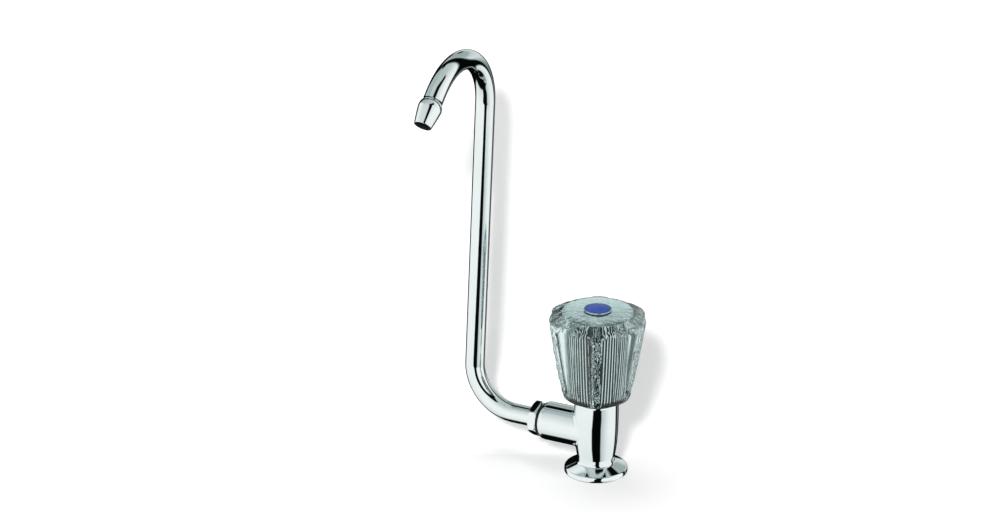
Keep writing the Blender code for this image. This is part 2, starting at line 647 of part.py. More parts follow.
def make_nozzle(joint, heading):
    # Tapered end piece. Its heights run along the flow, from the tube's end.
    bulge = TUBE_RADIUS + NOZZLE_BULGE
    mouth = TUBE_RADIUS - NOZZLE_MOUTH_INSET
    bore = mouth - NOZZLE_WALL
    spigot = PASSAGE_RADIUS - SEAT_GAP
    inner = spigot - SPIGOT_WALL
    depth = SPIGOT_MARGIN - HOOK_TAIL
    outline = [(mouth - NOZZLE_EDGE, NOZZLE_LENGTH), (mouth, NOZZLE_LENGTH - NOZZLE_EDGE)]
    belly = NOZZLE_BULGE_AT - SEAT_GAP
    for angle in (20, 0, -25, -50, -75):
        turn = math.radians(angle)
        outline.append((bulge - (bulge - spigot) * (1 - math.cos(turn)),
                        NOZZLE_BULGE_AT + belly * math.sin(turn)))
    outline += [(spigot, SEAT_GAP), (spigot, depth), (inner, depth)]
    outline += [(inner, NOZZLE_LENGTH - MOUTH_DEPTH - NOZZLE_WALL),
                (bore, NOZZLE_LENGTH - MOUTH_DEPTH), (bore, NOZZLE_LENGTH)]
    nozzle = add_part("outlet_nozzle", turned("outlet_nozzle", outline), "chrome", spout_axis)
    nozzle.location = joint
    nozzle.rotation_euler = heading.to_track_quat("Z", "X").to_euler()


def make_housing():
    housing = add_part("headwork_housing", turned("headwork_housing", [
        (0, BARREL_TOP_Z),
        (BARREL_RADIUS, BARREL_TOP_Z),
        (BARREL_RADIUS, HOUSING_HEX_Z),
        (HOUSING_FLANGE_RADIUS, HOUSING_HEX_Z),
        (HOUSING_FLANGE_RADIUS, HOUSING_FLANGE_Z),
        (SKIRT_RADIUS, HOUSING_FLANGE_Z),
        (SKIRT_RADIUS, SKIRT_Z),
        (0, SKIRT_Z)]), "brass")
    spanner_flat = (HOUSING_FLANGE_RADIUS - HOUSING_HEX_INSET) * math.cos(math.pi / 6)
    join(housing, add_cutter("spanner_hex", hexagon(
        "spanner_hex", spanner_flat, HOUSING_HEX_Z - HOUSING_FLANGE_LENGTH / 2, BARREL_Z)))
    cut(housing,
        add_cutter("spindle_bore", plug(
            "spindle_bore", SPINDLE_BORE_RADIUS, SKIRT_Z - OVERCUT, BARREL_TOP_Z + OVERCUT)),
        add_cutter("piston_guide", hexagon(
            "piston_guide", GUIDE_FLAT, SKIRT_Z - OVERCUT, SHOULDER_Z)))

    add_part("headwork_gasket", ring(
        "headwork_gasket", SKIRT_RADIUS + SEAT_GAP, HOUSING_FLANGE_RADIUS - GASKET_INSET,
        GASKET_Z, GASKET_LENGTH), "fibre")


def make_spindle():
    outline = [(0, STEM_TOP_Z), (SPINDLE_RADIUS, STEM_TOP_Z)]
    clip_groove = SPINDLE_RADIUS - CLIP_GROOVE_DEPTH
    outline += groove_points(clip_groove, CLIP_Z - SEAT_GAP, CLIP_LENGTH + 2 * SEAT_GAP)
    ring_groove = SPINDLE_BORE_RADIUS - 2 * RING_GAP - SPINDLE_RING_SECTION
    ring_heights = [BARREL_Z + height for height in SPINDLE_RING_HEIGHTS]
    for height in reversed(ring_heights):
        outline += groove_points(ring_groove, height - RING_GAP, SPINDLE_RING_SECTION + 2 * RING_GAP)
    outline += [(SPINDLE_RADIUS, COLLAR_Z + COLLAR_LENGTH),
                (COLLAR_RADIUS, COLLAR_Z + COLLAR_LENGTH),
                (COLLAR_RADIUS, COLLAR_Z),
                (SPINDLE_SCREW_RADIUS, COLLAR_Z),
                (SPINDLE_SCREW_RADIUS, SPINDLE_FOOT_Z),
                (0, SPINDLE_FOOT_Z)]
    spindle = add_part("spindle", turned("spindle", outline), "brass", knob_axis)
    spline = toothed_bar("spindle_spline", SPLINE_TIP, SPLINE_ROOT, SPLINE_COUNT,
                         STEM_TOP_Z - STEM_LAND / 2, SPINDLE_TOP_Z)
    hole = plug("screw_hole", SCREW_HOLE_RADIUS, SPINDLE_TOP_Z - SCREW_HOLE_DEPTH,
                SPINDLE_TOP_Z + OVERCUT, RING_STEPS)
    join(spindle, add_cutter("spindle_spline", spline))
    cut(spindle, add_cutter("screw_hole", hole))

    for name, height in zip(("spindle_o_ring_lower", "spindle_o_ring_upper"), ring_heights):
        rubber = rubber_ring(name, ring_groove + RING_GAP, SPINDLE_RING_SECTION, height)
        add_part(name, rubber, "rubber", knob_axis)
    add_part("thrust_washer", ring(
        "thrust_washer", SPINDLE_RADIUS + SEAT_GAP, COLLAR_RADIUS,
        THRUST_WASHER_Z, THRUST_WASHER_LENGTH), "nylon", knob_axis)

    clip_outer = SPINDLE_RADIUS + CLIP_REACH
    clip = add_part("spindle_clip", ring(
        "spindle_clip", clip_groove + RING_GAP, clip_outer, CLIP_Z, CLIP_LENGTH), "steel", knob_axis)
    slot = box("clip_slot", (2 * clip_outer, CLIP_SLOT, 4 * CLIP_LENGTH), (clip_outer, 0, CLIP_Z))
    cut(clip, add_cutter("clip_slot", slot))


def groove_points(radius, low, width):
    # Square groove in the spindle's outline, from its upper edge down.
    return [(SPINDLE_RADIUS, low + width), (radius, low + width), (radius, low), (SPINDLE_RADIUS, low)]


def make_piston():
    washer_bore = WASHER_SCREW_RADIUS + SEAT_GAP
    piston = add_part("valve_piston", plug(
        "valve_piston", SEAT_WASHER_RADIUS + SEAT_GAP, PISTON_Z, PLATE_TOP_Z), "brass", lift_axis)
    sleeve = add_cutter("piston_sleeve", hexagon(
        "piston_sleeve", PISTON_FLAT, PLATE_TOP_Z - PISTON_PLATE_LENGTH / 2, PISTON_TOP_Z))
    bore = add_cutter("piston_bore", plug(
        "piston_bore", SPINDLE_SCREW_RADIUS + RUN_GAP, PLATE_TOP_Z, PISTON_TOP_Z + OVERCUT))
    screw_way = add_cutter("washer_screw_hole", plug(
        "washer_screw_hole", washer_bore, PISTON_Z - OVERCUT, PLATE_TOP_Z + OVERCUT, RING_STEPS))
    join(piston, sleeve)
    cut(piston, bore, screw_way)

    add_part("seat_washer", ring(
        "seat_washer", washer_bore, SEAT_WASHER_RADIUS, SEAT_WASHER_Z, SEAT_WASHER_LENGTH),
        "rubber", lift_axis)
    head_top = SEAT_WASHER_Z - SEAT_GAP
    screw = add_part("washer_screw", turned("washer_screw", [
        (0, PLATE_TOP_Z),
        (WASHER_SCREW_RADIUS, PLATE_TOP_Z),
        (WASHER_SCREW_RADIUS, head_top),
        (WASHER_SCREW_HEAD_RADIUS, head_top),
        (WASHER_SCREW_HEAD_RADIUS, head_top - WASHER_SCREW_HEAD_LENGTH),
        (0, head_top - WASHER_SCREW_HEAD_LENGTH)], RING_STEPS), "brass", lift_axis)
    head_low = head_top - WASHER_SCREW_HEAD_LENGTH
    slot = box("washer_screw_slot", (3 * WASHER_SCREW_HEAD_RADIUS, SCREW_SLOT_WIDTH, WASHER_SCREW_HEAD_LENGTH),
               (0, 0, head_low))
    cut(screw, add_cutter("washer_screw_slot", slot))


def make_knob_core():
    # Ribbed sleeve with a web, a splined hub below it and a well for the screw above.
    core = add_part("knob_core", toothed_bar(
        "knob_core", CORE_TIP, CORE_ROOT, CORE_RIBS, KNOB_Z, CORE_TOP_Z), "silvering", knob_axis)
    lower = turned("core_lower_hollow", [
        (0, HUB_Z),
        (HUB_RADIUS, HUB_Z),
        (HUB_RADIUS, HUB_TOP_Z - CORE_WEB),
        (CORE_BORE_RADIUS, HUB_TOP_Z - CORE_WEB),
        (CORE_BORE_RADIUS, KNOB_Z - OVERCUT),
        (0, KNOB_Z - OVERCUT)])
    upper = turned("core_well", [
        (0, CORE_TOP_Z + OVERCUT),
        (INDEX_RADIUS, CORE_TOP_Z + OVERCUT),
        (INDEX_RADIUS, CORE_TOP_Z - CORE_PLATE),
        (CORE_BORE_RADIUS, CORE_TOP_Z - CORE_PLATE),
        (CORE_BORE_RADIUS, HUB_TOP_Z),
        (0, HUB_TOP_Z)])
    splined_bore = toothed_bar("hub_spline", SPLINE_TIP + SEAT_GAP, SPLINE_ROOT + SEAT_GAP,
                               SPLINE_COUNT, HUB_Z - OVERCUT, HUB_PLATE_Z)
    screw_way = plug("hub_screw_hole", SCREW_HOLE_RADIUS, HUB_PLATE_Z - OVERCUT,
                     HUB_TOP_Z + OVERCUT, RING_STEPS)
    cut(core,
        add_cutter("core_lower_hollow", lower),
        add_cutter("core_well", upper),
        add_cutter("hub_spline", splined_bore),
        add_cutter("hub_screw_hole", screw_way))

    head_radius = HANDLE_SCREW_RADIUS + HANDLE_SCREW_HEAD_STEP
    head_top = HANDLE_SCREW_Z + HANDLE_SCREW_HEAD_LENGTH
    screw = add_part("handle_screw", turned("handle_screw", [
        (0, head_top),
        (head_radius * 0.6, head_top),
        (head_radius * 0.9, head_top - HANDLE_SCREW_HEAD_LENGTH * 0.25),
        (head_radius, head_top - HANDLE_SCREW_HEAD_LENGTH * 0.6),
        (head_radius, HANDLE_SCREW_Z),
        (HANDLE_SCREW_RADIUS, HANDLE_SCREW_Z),
        (HANDLE_SCREW_RADIUS, SPINDLE_TOP_Z - HANDLE_SCREW_REACH),
        (0, SPINDLE_TOP_Z - HANDLE_SCREW_REACH)], RING_STEPS), "steel", knob_axis)
    slot = box("handle_screw_slot", (3 * head_radius, SCREW_SLOT_WIDTH, 2 * SCREW_SLOT_DEPTH), (0, 0, head_top))
    cut(screw, add_cutter("handle_screw_slot", slot))


def ridge_share(angle):
    # Radius of the ridged outline as a share of the broad ridges' radius: level across
    # a broad ridge, then falling evenly to the narrow one, less the flute's scoop.
    pitch = 360 / KNOB_RIDGES
    off = abs((math.degrees(angle) + pitch / 2) % pitch - pitch / 2)
    along = max(0.0, (off - KNOB_RIDGE_HALF) / (pitch / 2 - KNOB_RIDGE_HALF))
    return 1 - (1 - KNOB_NARROW_SHARE) * along - KNOB_SCOOP * 4 * along * (1 - along)


def knob_ring(ridge_radius, height, facet, hole_share=0.0):
    # One ring of the crystal: round where facet is 0, ridged where it is 1.
    # hole_share draws it in towards the round hole in the knob's top.
    loop = []
    for i in range(KNOB_STEPS):
        angle = 2 * math.pi * i / KNOB_STEPS
        radius = ridge_radius * (1 - facet + facet * ridge_share(angle))
        radius += (INDEX_HOLE_RADIUS - radius) * hole_share
        turn = angle + math.radians(KNOB_TURN)
        loop.append((radius * math.cos(turn), radius * math.sin(turn), height))
    return loop


def make_knob():
    rings = []
    for angle in (0, 30, 60, 85):
        turn = math.radians(angle)
        height = KNOB_SHOULDER_HEIGHT * (1 - math.cos(turn))
        rings.append(knob_ring(KNOB_FOOT_RADIUS + KNOB_SHOULDER_STEP * math.sin(turn),
                               KNOB_Z + height, min(1.0, height / KNOB_FACET_RUN)))
    flank = KNOB_HEIGHT - KNOB_RIM_ROUND - KNOB_SHOULDER_HEIGHT
    for share in (0.08, 0.18, 0.4, 0.7, 1.0):
        height = KNOB_SHOULDER_HEIGHT + flank * share
        rings.append(knob_ring(KNOB_SHOULDER_RADIUS + KNOB_FLARE * share ** KNOB_FLARE_POWER,
                               KNOB_Z + height, min(1.0, height / KNOB_FACET_RUN)))
    for angle in (40, 80):
        turn = math.radians(angle)
        rings.append(knob_ring(KNOB_RIM_RADIUS - KNOB_RIM_ROUND * (1 - math.cos(turn)),
                               KNOB_RIM_Z - KNOB_RIM_ROUND * (1 - math.sin(turn)), 1.0))
    crown_radius = KNOB_RIM_RADIUS - KNOB_RIM_ROUND
    for share in (0.2, 0.45, 0.72, 1.0):
        rise = KNOB_DOME_RISE * (1 - (1 - share) ** KNOB_DOME_POWER)
        rings.append(knob_ring(crown_radius, KNOB_RIM_Z + rise, 1.0, share))
    rings.append(knob_ring(INDEX_HOLE_RADIUS, KNOB_CAVITY_Z, 0.0))
    rings.append(knob_ring(KNOB_BORE_RADIUS, KNOB_CAVITY_Z, 0.0))
    rings.append(knob_ring(KNOB_BORE_RADIUS, KNOB_Z, 0.0))
    add_part("knob", lofted("knob", rings, closed=True), "crystal", knob_axis)

    edge_z = KNOB_CROWN_Z
    skirt_low = edge_z - INDEX_SKIRT_LENGTH
    add_part("index_cap", turned("index_cap", [
        (0, INDEX_TOP_Z),
        (INDEX_RADIUS * 0.5, edge_z + INDEX_CROWN * 0.75),
        (INDEX_RADIUS * 0.85, edge_z + INDEX_CROWN * 0.28),
        (INDEX_RADIUS, edge_z),
        (INDEX_RADIUS, skirt_low),
        (INDEX_RADIUS - INDEX_SKIRT_WALL, skirt_low),
        (INDEX_RADIUS - INDEX_SKIRT_WALL, edge_z - INDEX_DISC),
        (0, edge_z - INDEX_DISC)]), "blue", knob_axis)


make_valve_body()
make_gland_nut()
make_spout()
make_housing()
make_spindle()
make_piston()
make_knob_core()
make_knob()
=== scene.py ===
# Cold water pillar tap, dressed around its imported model.
# Sizes below are in millimetres, in the model's own frame: +Z up, the side boss
# along -X, the spout's hook leaning out along -Y.

import math

import bmesh
import bpy
import numpy as np
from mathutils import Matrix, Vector


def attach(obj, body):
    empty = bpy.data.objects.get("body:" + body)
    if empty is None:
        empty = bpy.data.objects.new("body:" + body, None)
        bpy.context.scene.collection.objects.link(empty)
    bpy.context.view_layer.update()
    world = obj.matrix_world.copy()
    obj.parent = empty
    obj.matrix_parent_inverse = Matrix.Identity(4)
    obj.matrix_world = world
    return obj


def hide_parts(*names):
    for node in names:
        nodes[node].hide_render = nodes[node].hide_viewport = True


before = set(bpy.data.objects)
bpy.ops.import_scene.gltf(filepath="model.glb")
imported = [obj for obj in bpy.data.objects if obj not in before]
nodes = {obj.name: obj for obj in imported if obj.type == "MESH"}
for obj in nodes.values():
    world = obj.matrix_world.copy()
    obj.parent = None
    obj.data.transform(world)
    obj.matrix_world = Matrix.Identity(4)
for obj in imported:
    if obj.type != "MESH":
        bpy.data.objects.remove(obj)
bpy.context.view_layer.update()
mm = 0.001
print("frame loaded:", len(nodes), "nodes")


# shared mesh helpers

def roundedProfile(corners, steps=5):
    # Each corner (radius, height, fillet) becomes an arc tangent to both its sides:
    # centre = corner + bisector * fillet / sin(half angle), tangent length =
    # fillet / tan(half angle). A fillet of 0 keeps the corner.
    points = []
    for i, (radius, height, fillet) in enumerate(corners):
        here = np.array([radius, height], float)
        if fillet <= 0 or i in (0, len(corners) - 1):
            points.append(here)
            continue
        back = np.array(corners[i - 1][:2], float) - here
        ahead = np.array(corners[i + 1][:2], float) - here
        back /= np.linalg.norm(back)
        ahead /= np.linalg.norm(ahead)
        half = math.acos(np.clip(back @ ahead, -1, 1)) / 2
        centre = here + (back + ahead) / np.linalg.norm(back + ahead) * fillet / math.sin(half)
        first = here + back * fillet / math.tan(half) - centre
        last = here + ahead * fillet / math.tan(half) - centre
        sweep = math.atan2(first[0] * last[1] - first[1] * last[0], first @ last)
        for share in np.linspace(0, 1, steps):
            turn = sweep * share
            points.append(centre + [first[0] * math.cos(turn) - first[1] * math.sin(turn),
                                    first[0] * math.sin(turn) + first[1] * math.cos(turn)])
    return np.array(points)


def turnedGrid(profile, columns):
    # Surface of revolution: (r(u) cos v, r(u) sin v, h(u)).
    turn = np.linspace(0, 2 * math.pi, columns, endpoint=False)
    radius, height = profile[:, 0, None], profile[:, 1, None]
    return np.stack([radius * np.cos(turn), radius * np.sin(turn),
                     height + 0 * turn], axis=-1)


def alongBoss(grid, axisHeight):
    # Turns a grid built along +Z to run out along -X at the boss's height.
    return np.stack([-grid[..., 2], grid[..., 1], grid[..., 0] + axisHeight], axis=-1)


def alongDirection(grid, start, direction):
    # Turns a grid built along +Z to run from start in any direction.
    turn = np.array(Vector(direction).to_track_quat("Z", "X").to_matrix())
    return grid @ turn.T + np.array(start)


def skin(name, shells, crease=32, ring=()):
    # One quad for each cell of each grid; the columns always close on themselves,
    # and the rows do too for the shells whose number is in ring.
    corners, quads, start = [], [], 0
    for number, grid in enumerate(shells):
        rows, columns = grid.shape[:2]
        index = start + np.arange(rows * columns).reshape(rows, columns)
        low = index if number in ring else index[:-1]
        high = np.roll(index, -1, axis=0) if number in ring else index[1:]
        cells = [low, np.roll(low, -1, axis=1), np.roll(high, -1, axis=1), high]
        quads.append(np.stack(cells, axis=-1).reshape(-1, 4))
        corners.append(grid.reshape(-1, 3) * mm)
        start += rows * columns
    mesh = bpy.data.meshes.new(name)
    mesh.from_pydata(np.concatenate(corners), [], np.concatenate(quads).tolist())
    shape = bmesh.new()
    shape.from_mesh(mesh)
    bmesh.ops.remove_doubles(shape, verts=shape.verts, dist=0.000002)
    bmesh.ops.dissolve_degenerate(shape, edges=shape.edges, dist=0.000001)
    bmesh.ops.recalc_face_normals(shape, faces=shape.faces)
    shape.to_mesh(mesh)
    shape.free()
    mesh.shade_smooth()
    mesh.set_sharp_from_angle(angle=math.radians(crease))
    piece = bpy.data.objects.new(name, mesh)
    bpy.context.scene.collection.objects.link(piece)
    return piece


def dress(piece, material, body, slot, *replaced):
    piece.data.materials.clear()
    piece.data.materials.append(material)
    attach(piece, body)
    if replaced:
        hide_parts(*replaced)
    return piece


# materials

def newMaterial(name):
    material = bpy.data.materials.new(name)
    material.use_nodes = True
    return material, material.node_tree.nodes, material.node_tree.links


def grain(make, link, scale, detail):
    # Noise read on the piece's own coordinates.
    place = make.new("ShaderNodeTexCoord")
    noise = make.new("ShaderNodeTexNoise")
    noise.inputs["Scale"].default_value = scale
    noise.inputs["Detail"].default_value = detail
    link.new(place.outputs["Object"], noise.inputs["Vector"])
    return noise.outputs["Fac"]


def twoTones(make, link, source, low, dark, high, light):
    # The source's values from low to high become colours from dark to light.
    tone = make.new("ShaderNodeValToRGB")
    for stop, place, colour in zip(tone.color_ramp.elements, (low, high), (dark, light)):
        stop.position = place
        stop.color = (*colour, 1)
    link.new(source, tone.inputs["Fac"])
    link.new(tone.outputs["Color"], make["Principled BSDF"].inputs["Base Color"])


def glossBetween(make, link, source, low, smooth, high, rough):
    # The source's values from low to high become roughness from smooth to rough.
    gloss = make.new("ShaderNodeMapRange")
    for socket, value in (("From Min", low), ("From Max", high), ("To Min", smooth), ("To Max", rough)):
        gloss.inputs[socket].default_value = value
    link.new(source, gloss.inputs["Value"])
    link.new(gloss.outputs["Result"], make["Principled BSDF"].inputs["Roughness"])


def raised(make, link, source, strength, distance):
    bump = make.new("ShaderNodeBump")
    bump.inputs["Strength"].default_value = strength
    bump.inputs["Distance"].default_value = distance
    link.new(source, bump.inputs["Height"])
    link.new(bump.outputs["Normal"], make["Principled BSDF"].inputs["Normal"])


chromeFinish = {
    "dark": (0.90, 0.93, 0.93), "light": (0.94, 0.965, 0.965), "smooth": 0.012, "rough": 0.035,
    "hazeScale": 90.0, "hazeDetail": 4.0, "rippleScale": 160.0, "rippleDetail": 1.0, "ripple": 0.03,
}


def polishedChrome():
    # Bright plate: near-mirror, with a faint haze and a slight ripple in the surface.
    material, make, link = newMaterial("polishedChrome")
    make["Principled BSDF"].inputs["Metallic"].default_value = 1.0
    f = chromeFinish
    haze = grain(make, link, f["hazeScale"], f["hazeDetail"])
    twoTones(make, link, haze, 0.30, f["dark"], 0.70, f["light"])
    glossBetween(make, link, haze, 0.35, f["smooth"], 0.75, f["rough"])
    raised(make, link, grain(make, link, f["rippleScale"], f["rippleDetail"]), f["ripple"], 0.0004)
    return material


crystalFinish = {"tint": (0.83, 0.965, 0.955), "refraction": 1.49, "cloudScale": 220.0, "cloudy": 0.03}


def clearCrystal():
    # Clear moulded acrylic with a green cast and faint cloudy patches in its gloss.
    material, make, link = newMaterial("clearCrystal")
    f = crystalFinish
    shader = make["Principled BSDF"]
    shader.inputs["Transmission Weight"].default_value = 1.0
    shader.inputs["IOR"].default_value = f["refraction"]
    shader.inputs["Base Color"].default_value = (*f["tint"], 1)
    glossBetween(make, link, grain(make, link, f["cloudScale"], 3.0), 0.35, 0.0, 0.75, f["cloudy"])
    return material


def plainStuff(name, dark, light, roughness, metallic=0.0, scale=300.0, relief=0.15):
    # Moulded, turned or rubbery stuff: two tones mixed by a fine grain, with the
    # grain's relief on the surface.
    material, make, link = newMaterial(name)
    make["Principled BSDF"].inputs["Metallic"].default_value = metallic
    noise = grain(make, link, scale, 5.0)
    twoTones(make, link, noise, 0.35, dark, 0.68, light)
    glossBetween(make, link, noise, 0.3, roughness * 0.8, 0.7, roughness * 1.2)
    raised(make, link, noise, relief, 0.0002)
    return material


def silverWithGrooveShade():
    # Silvering with painted shade in the grooves, read from the ribs' own depth attribute.
    material = plainStuff("silverWithGrooveShade", (0.80, 0.85, 0.86), (0.92, 0.96, 0.96), 0.08,
                          metallic=1.0, scale=220.0, relief=0.02)
    make, link = material.node_tree.nodes, material.node_tree.links
    shader = make["Principled BSDF"]
    tone = shader.inputs["Base Color"].links[0].from_socket
    # Painted shade: the grooveDepth attribute mixes in the near-black colour below, darkest deep in the
    # grooves and on the foot ring.
    depth = make.new("ShaderNodeAttribute")
    depth.attribute_name = "grooveDepth"
    mix = make.new("ShaderNodeMix")
    mix.data_type = "RGBA"
    mix.inputs[7].default_value = (0.006, 0.009, 0.010, 1)
    link.new(depth.outputs["Fac"], mix.inputs["Factor"])
    link.new(tone, mix.inputs[6])
    link.new(mix.outputs[2], shader.inputs["Base Color"])
    return material


def turnedMetal(name, dark, light, roughness):
    # Lathe-turned metal: fine rings across the axis, from a wave on Object Z.
    material = plainStuff(name, dark, light, roughness, 1.0, 500.0, 0.1)
    make, link = material.node_tree.nodes, material.node_tree.links
    place = next(n for n in make if n.type == "TEX_COORD")
    bump = next(n for n in make if n.type == "BUMP")
    rings = make.new("ShaderNodeTexWave")
    rings.bands_direction = "Z"
    rings.inputs["Scale"].default_value = 1400.0
    rings.inputs["Distortion"].default_value = 0.4
    link.new(place.outputs["Object"], rings.inputs["Vector"])
    link.new(rings.outputs["Fac"], bump.inputs["Height"])
    return material


chrome = polishedChrome()
crystal = clearCrystal()
silvering = plainStuff("silvering", (0.70, 0.77, 0.77), (0.93, 0.98, 0.98), 0.14, 1.0, 260.0, 0.45)
plateSilver = plainStuff("plateSilver", (0.80, 0.88, 0.88), (0.95, 1.0, 1.0), 0.20, 0.9, 260.0, 0.55)
ribSilver = silverWithGrooveShade()
blueCap = plainStuff("blueCap", (0.018, 0.052, 0.290), (0.042, 0.098, 0.420), 0.35, 0.0, 260.0, 0.12)
rubber = plainStuff("blackRubber", (0.012, 0.012, 0.013), (0.035, 0.035, 0.036), 0.65, 0.0, 700.0, 0.3)
# Near-black painted shade for the nozzle's bore and the collar between gland nut and boss.
paintedRecessShade = plainStuff("paintedRecessShade", (0.004, 0.005, 0.005), (0.010, 0.011, 0.011), 0.5, 0.0, 700.0, 0.2)
nylon = plainStuff("naturalNylon", (0.76, 0.75, 0.70), (0.86, 0.85, 0.81), 0.42, 0.0, 350.0, 0.1)
fibre = plainStuff("redFibre", (0.30, 0.06, 0.04), (0.52, 0.16, 0.10), 0.8, 0.0, 900.0, 0.5)
brass = turnedMetal("turnedBrass", (0.60, 0.43, 0.18), (0.80, 0.62, 0.30), 0.28)
steel = turnedMetal("plainSteel", (0.48, 0.49, 0.50), (0.66, 0.67, 0.68), 0.27)
print("materials made")


# cast body: base, pillar and side boss

pillar = {
    "topHeight": 39.06, "radius": 11.19, "neckHeight": 4.46, "neckRadius": 8.70,
    "flarePower": 3.5, "coneHeight": 5.9, "neckRun": 1.2, "neckDrop": 0.35, "neckFillet": 1.6,
    "topRound": 0.5,
    "rimRadius": 16.0, "rimTop": 2.72, "rimRound": 1.05, "footRound": 0.55,
    "headBore": 7.39, "boreStep": 27.76, "chamber": 6.89, "chamberFloor": 13.06,
    "lipRadius": 4.6, "seatHeight": 15.06, "orifice": 3.2, "inlet": 5.8, "inletDepth": 8.5,
    "grooveInner": 10.8, "grooveOuter": 13.8, "grooveDepth": 1.6, "columns": 192,
}
boss = {
    "axisHeight": 21.857, "radius": 9.8, "length": 29.1, "mouthRun": 3.1, "mouthDrop": 1.4,
    "bore": 7.2, "boreFloor": 15.1, "edge": 0.25, "flare": 0.9, "sink": 0.25, "heart": 8.0,
    "columns": 192,
}


def pillarRadius(height):
    # Full radius less a flare that dies away towards the top:
    # r = R - (R - neck) * (1 - share of the height) ^ power.
    p = pillar
    share = np.clip((height - p["neckHeight"]) / (p["topHeight"] - p["neckHeight"]), 0, 1)
    return p["radius"] - (p["radius"] - p["neckRadius"]) * (1 - share) ** p["flarePower"]


def pillarProfile():
    # Points (r, z) from the head's bore over the top, down the flared flank, out along a
    # cone to the flange's edge, then under it by the seal's groove, inlet and seat. Each
    # corner is a tangent arc.
    p = pillar
    heights = np.linspace(p["topHeight"] - p["topRound"], p["coneHeight"] + p["neckRun"], 48)
    flank = np.stack([pillarRadius(heights), heights], axis=1)
    head = roundedProfile([(p["headBore"], p["boreStep"], 0), (p["headBore"], p["topHeight"], 0.25),
                           (p["radius"], p["topHeight"], p["topRound"]), tuple(flank[0]) + (0,)])
    foot = roundedProfile([
        tuple(flank[-1]) + (0,),
        (float(pillarRadius(p["coneHeight"])), p["coneHeight"] - p["neckDrop"], p["neckFillet"]),
        (p["rimRadius"] - 0.15, p["rimTop"] - 0.03, p["rimRound"]),
        (p["rimRadius"], 0, p["footRound"]),
        (p["grooveOuter"], 0, 0.1),
        (p["grooveOuter"], p["grooveDepth"], 0),
        (p["grooveInner"], p["grooveDepth"], 0),
        (p["grooveInner"], 0, 0.1),
        (p["inlet"], 0, 0.3),
        (p["inlet"], p["inletDepth"], 0.2),
        (p["orifice"], p["inletDepth"], 0.2),
        (p["orifice"], p["seatHeight"], 0.2),
        (p["lipRadius"], p["seatHeight"], 0.2),
        (p["lipRadius"], p["chamberFloor"], 0.2),
        (p["chamber"], p["chamberFloor"], 0.3),
        (p["chamber"], p["boreStep"], 0)], 7)
    return np.concatenate([head[:-1], flank, foot[1:]])


def bossGrid():
    # Profile of distance s along the boss and radius r, carried round it by the angle v.
    # Near the pillar s is measured from the pillar's own surface, at
    # sqrt(R(z)^2 - y^2), and r grows by flare * (1 - 0.9 sin(v)^2) * (1 - d / flare)^2
    # over the last flare millimetres d, so the casting runs into the pillar with a fillet.
    b = boss
    turn = np.linspace(0, 2 * math.pi, b["columns"], endpoint=False)
    run, rise = np.cos(turn), np.sin(turn)
    mouth = [(0, b["boreFloor"]), (b["bore"], b["boreFloor"])]
    mouth += [tuple(p) for p in roundedProfile(
        [(b["bore"], b["boreFloor"], 0), (b["bore"], b["length"], b["edge"]),
         (b["radius"] - b["mouthDrop"], b["length"], 0)])[1:]]
    lip = np.radians(np.linspace(90, 0, 12))[1:]
    mouth += list(zip(b["radius"] - b["mouthDrop"] * (1 - np.cos(lip)),
                      b["length"] - b["mouthRun"] * (1 - np.sin(lip))))
    outer = turnedGrid(np.array(mouth), b["columns"])
    gaps = np.concatenate([np.linspace(14, 2.4, 12), b["flare"] * np.linspace(2.2, 0, 16)])[:, None]
    growth = b["flare"] * (1 - 0.9 * np.abs(rise) ** 2)
    radius = b["radius"] + growth * np.clip(1 - gaps / b["flare"], 0, 1) ** 2
    up, across = radius * run, radius * rise
    reach = np.sqrt(np.maximum(pillarRadius(up + b["axisHeight"]) ** 2 - across ** 2, 0))
    longest = b["length"] - b["mouthRun"] - 0.5
    along = np.minimum(reach + gaps, longest - 0.02 * (14 - gaps))
    flank = np.stack([up, across, along], axis=-1)
    sunk = flank[-1:].copy()
    sunk[..., 2] -= b["sink"]
    heart = np.zeros_like(sunk)
    heart[..., 2] = b["heart"]  # closes the shell out of sight, inside the pillar
    return alongBoss(np.concatenate([outer, flank, sunk, heart]), b["axisHeight"])


tapBody = skin("tapBody", [turnedGrid(pillarProfile(), pillar["columns"]), bossGrid()], ring=(0,))
dress(tapBody, chrome, "tap_body", "chrome", "valve_body")
print("cast body made:", len(tapBody.data.polygons), "faces")


# gland nut

nut = {
    "start": 23.6, "mouth": 29.4, "hexStart": 30.7, "end": 35.0, "bore": 5.3,
    "shank": 6.9, "collar": 7.1, "flat": 8.0, "chamfer": 30.0, "tip": 10.0,
    "cornerSharpness": 70.0, "edge": 0.18, "columns": 288,
}


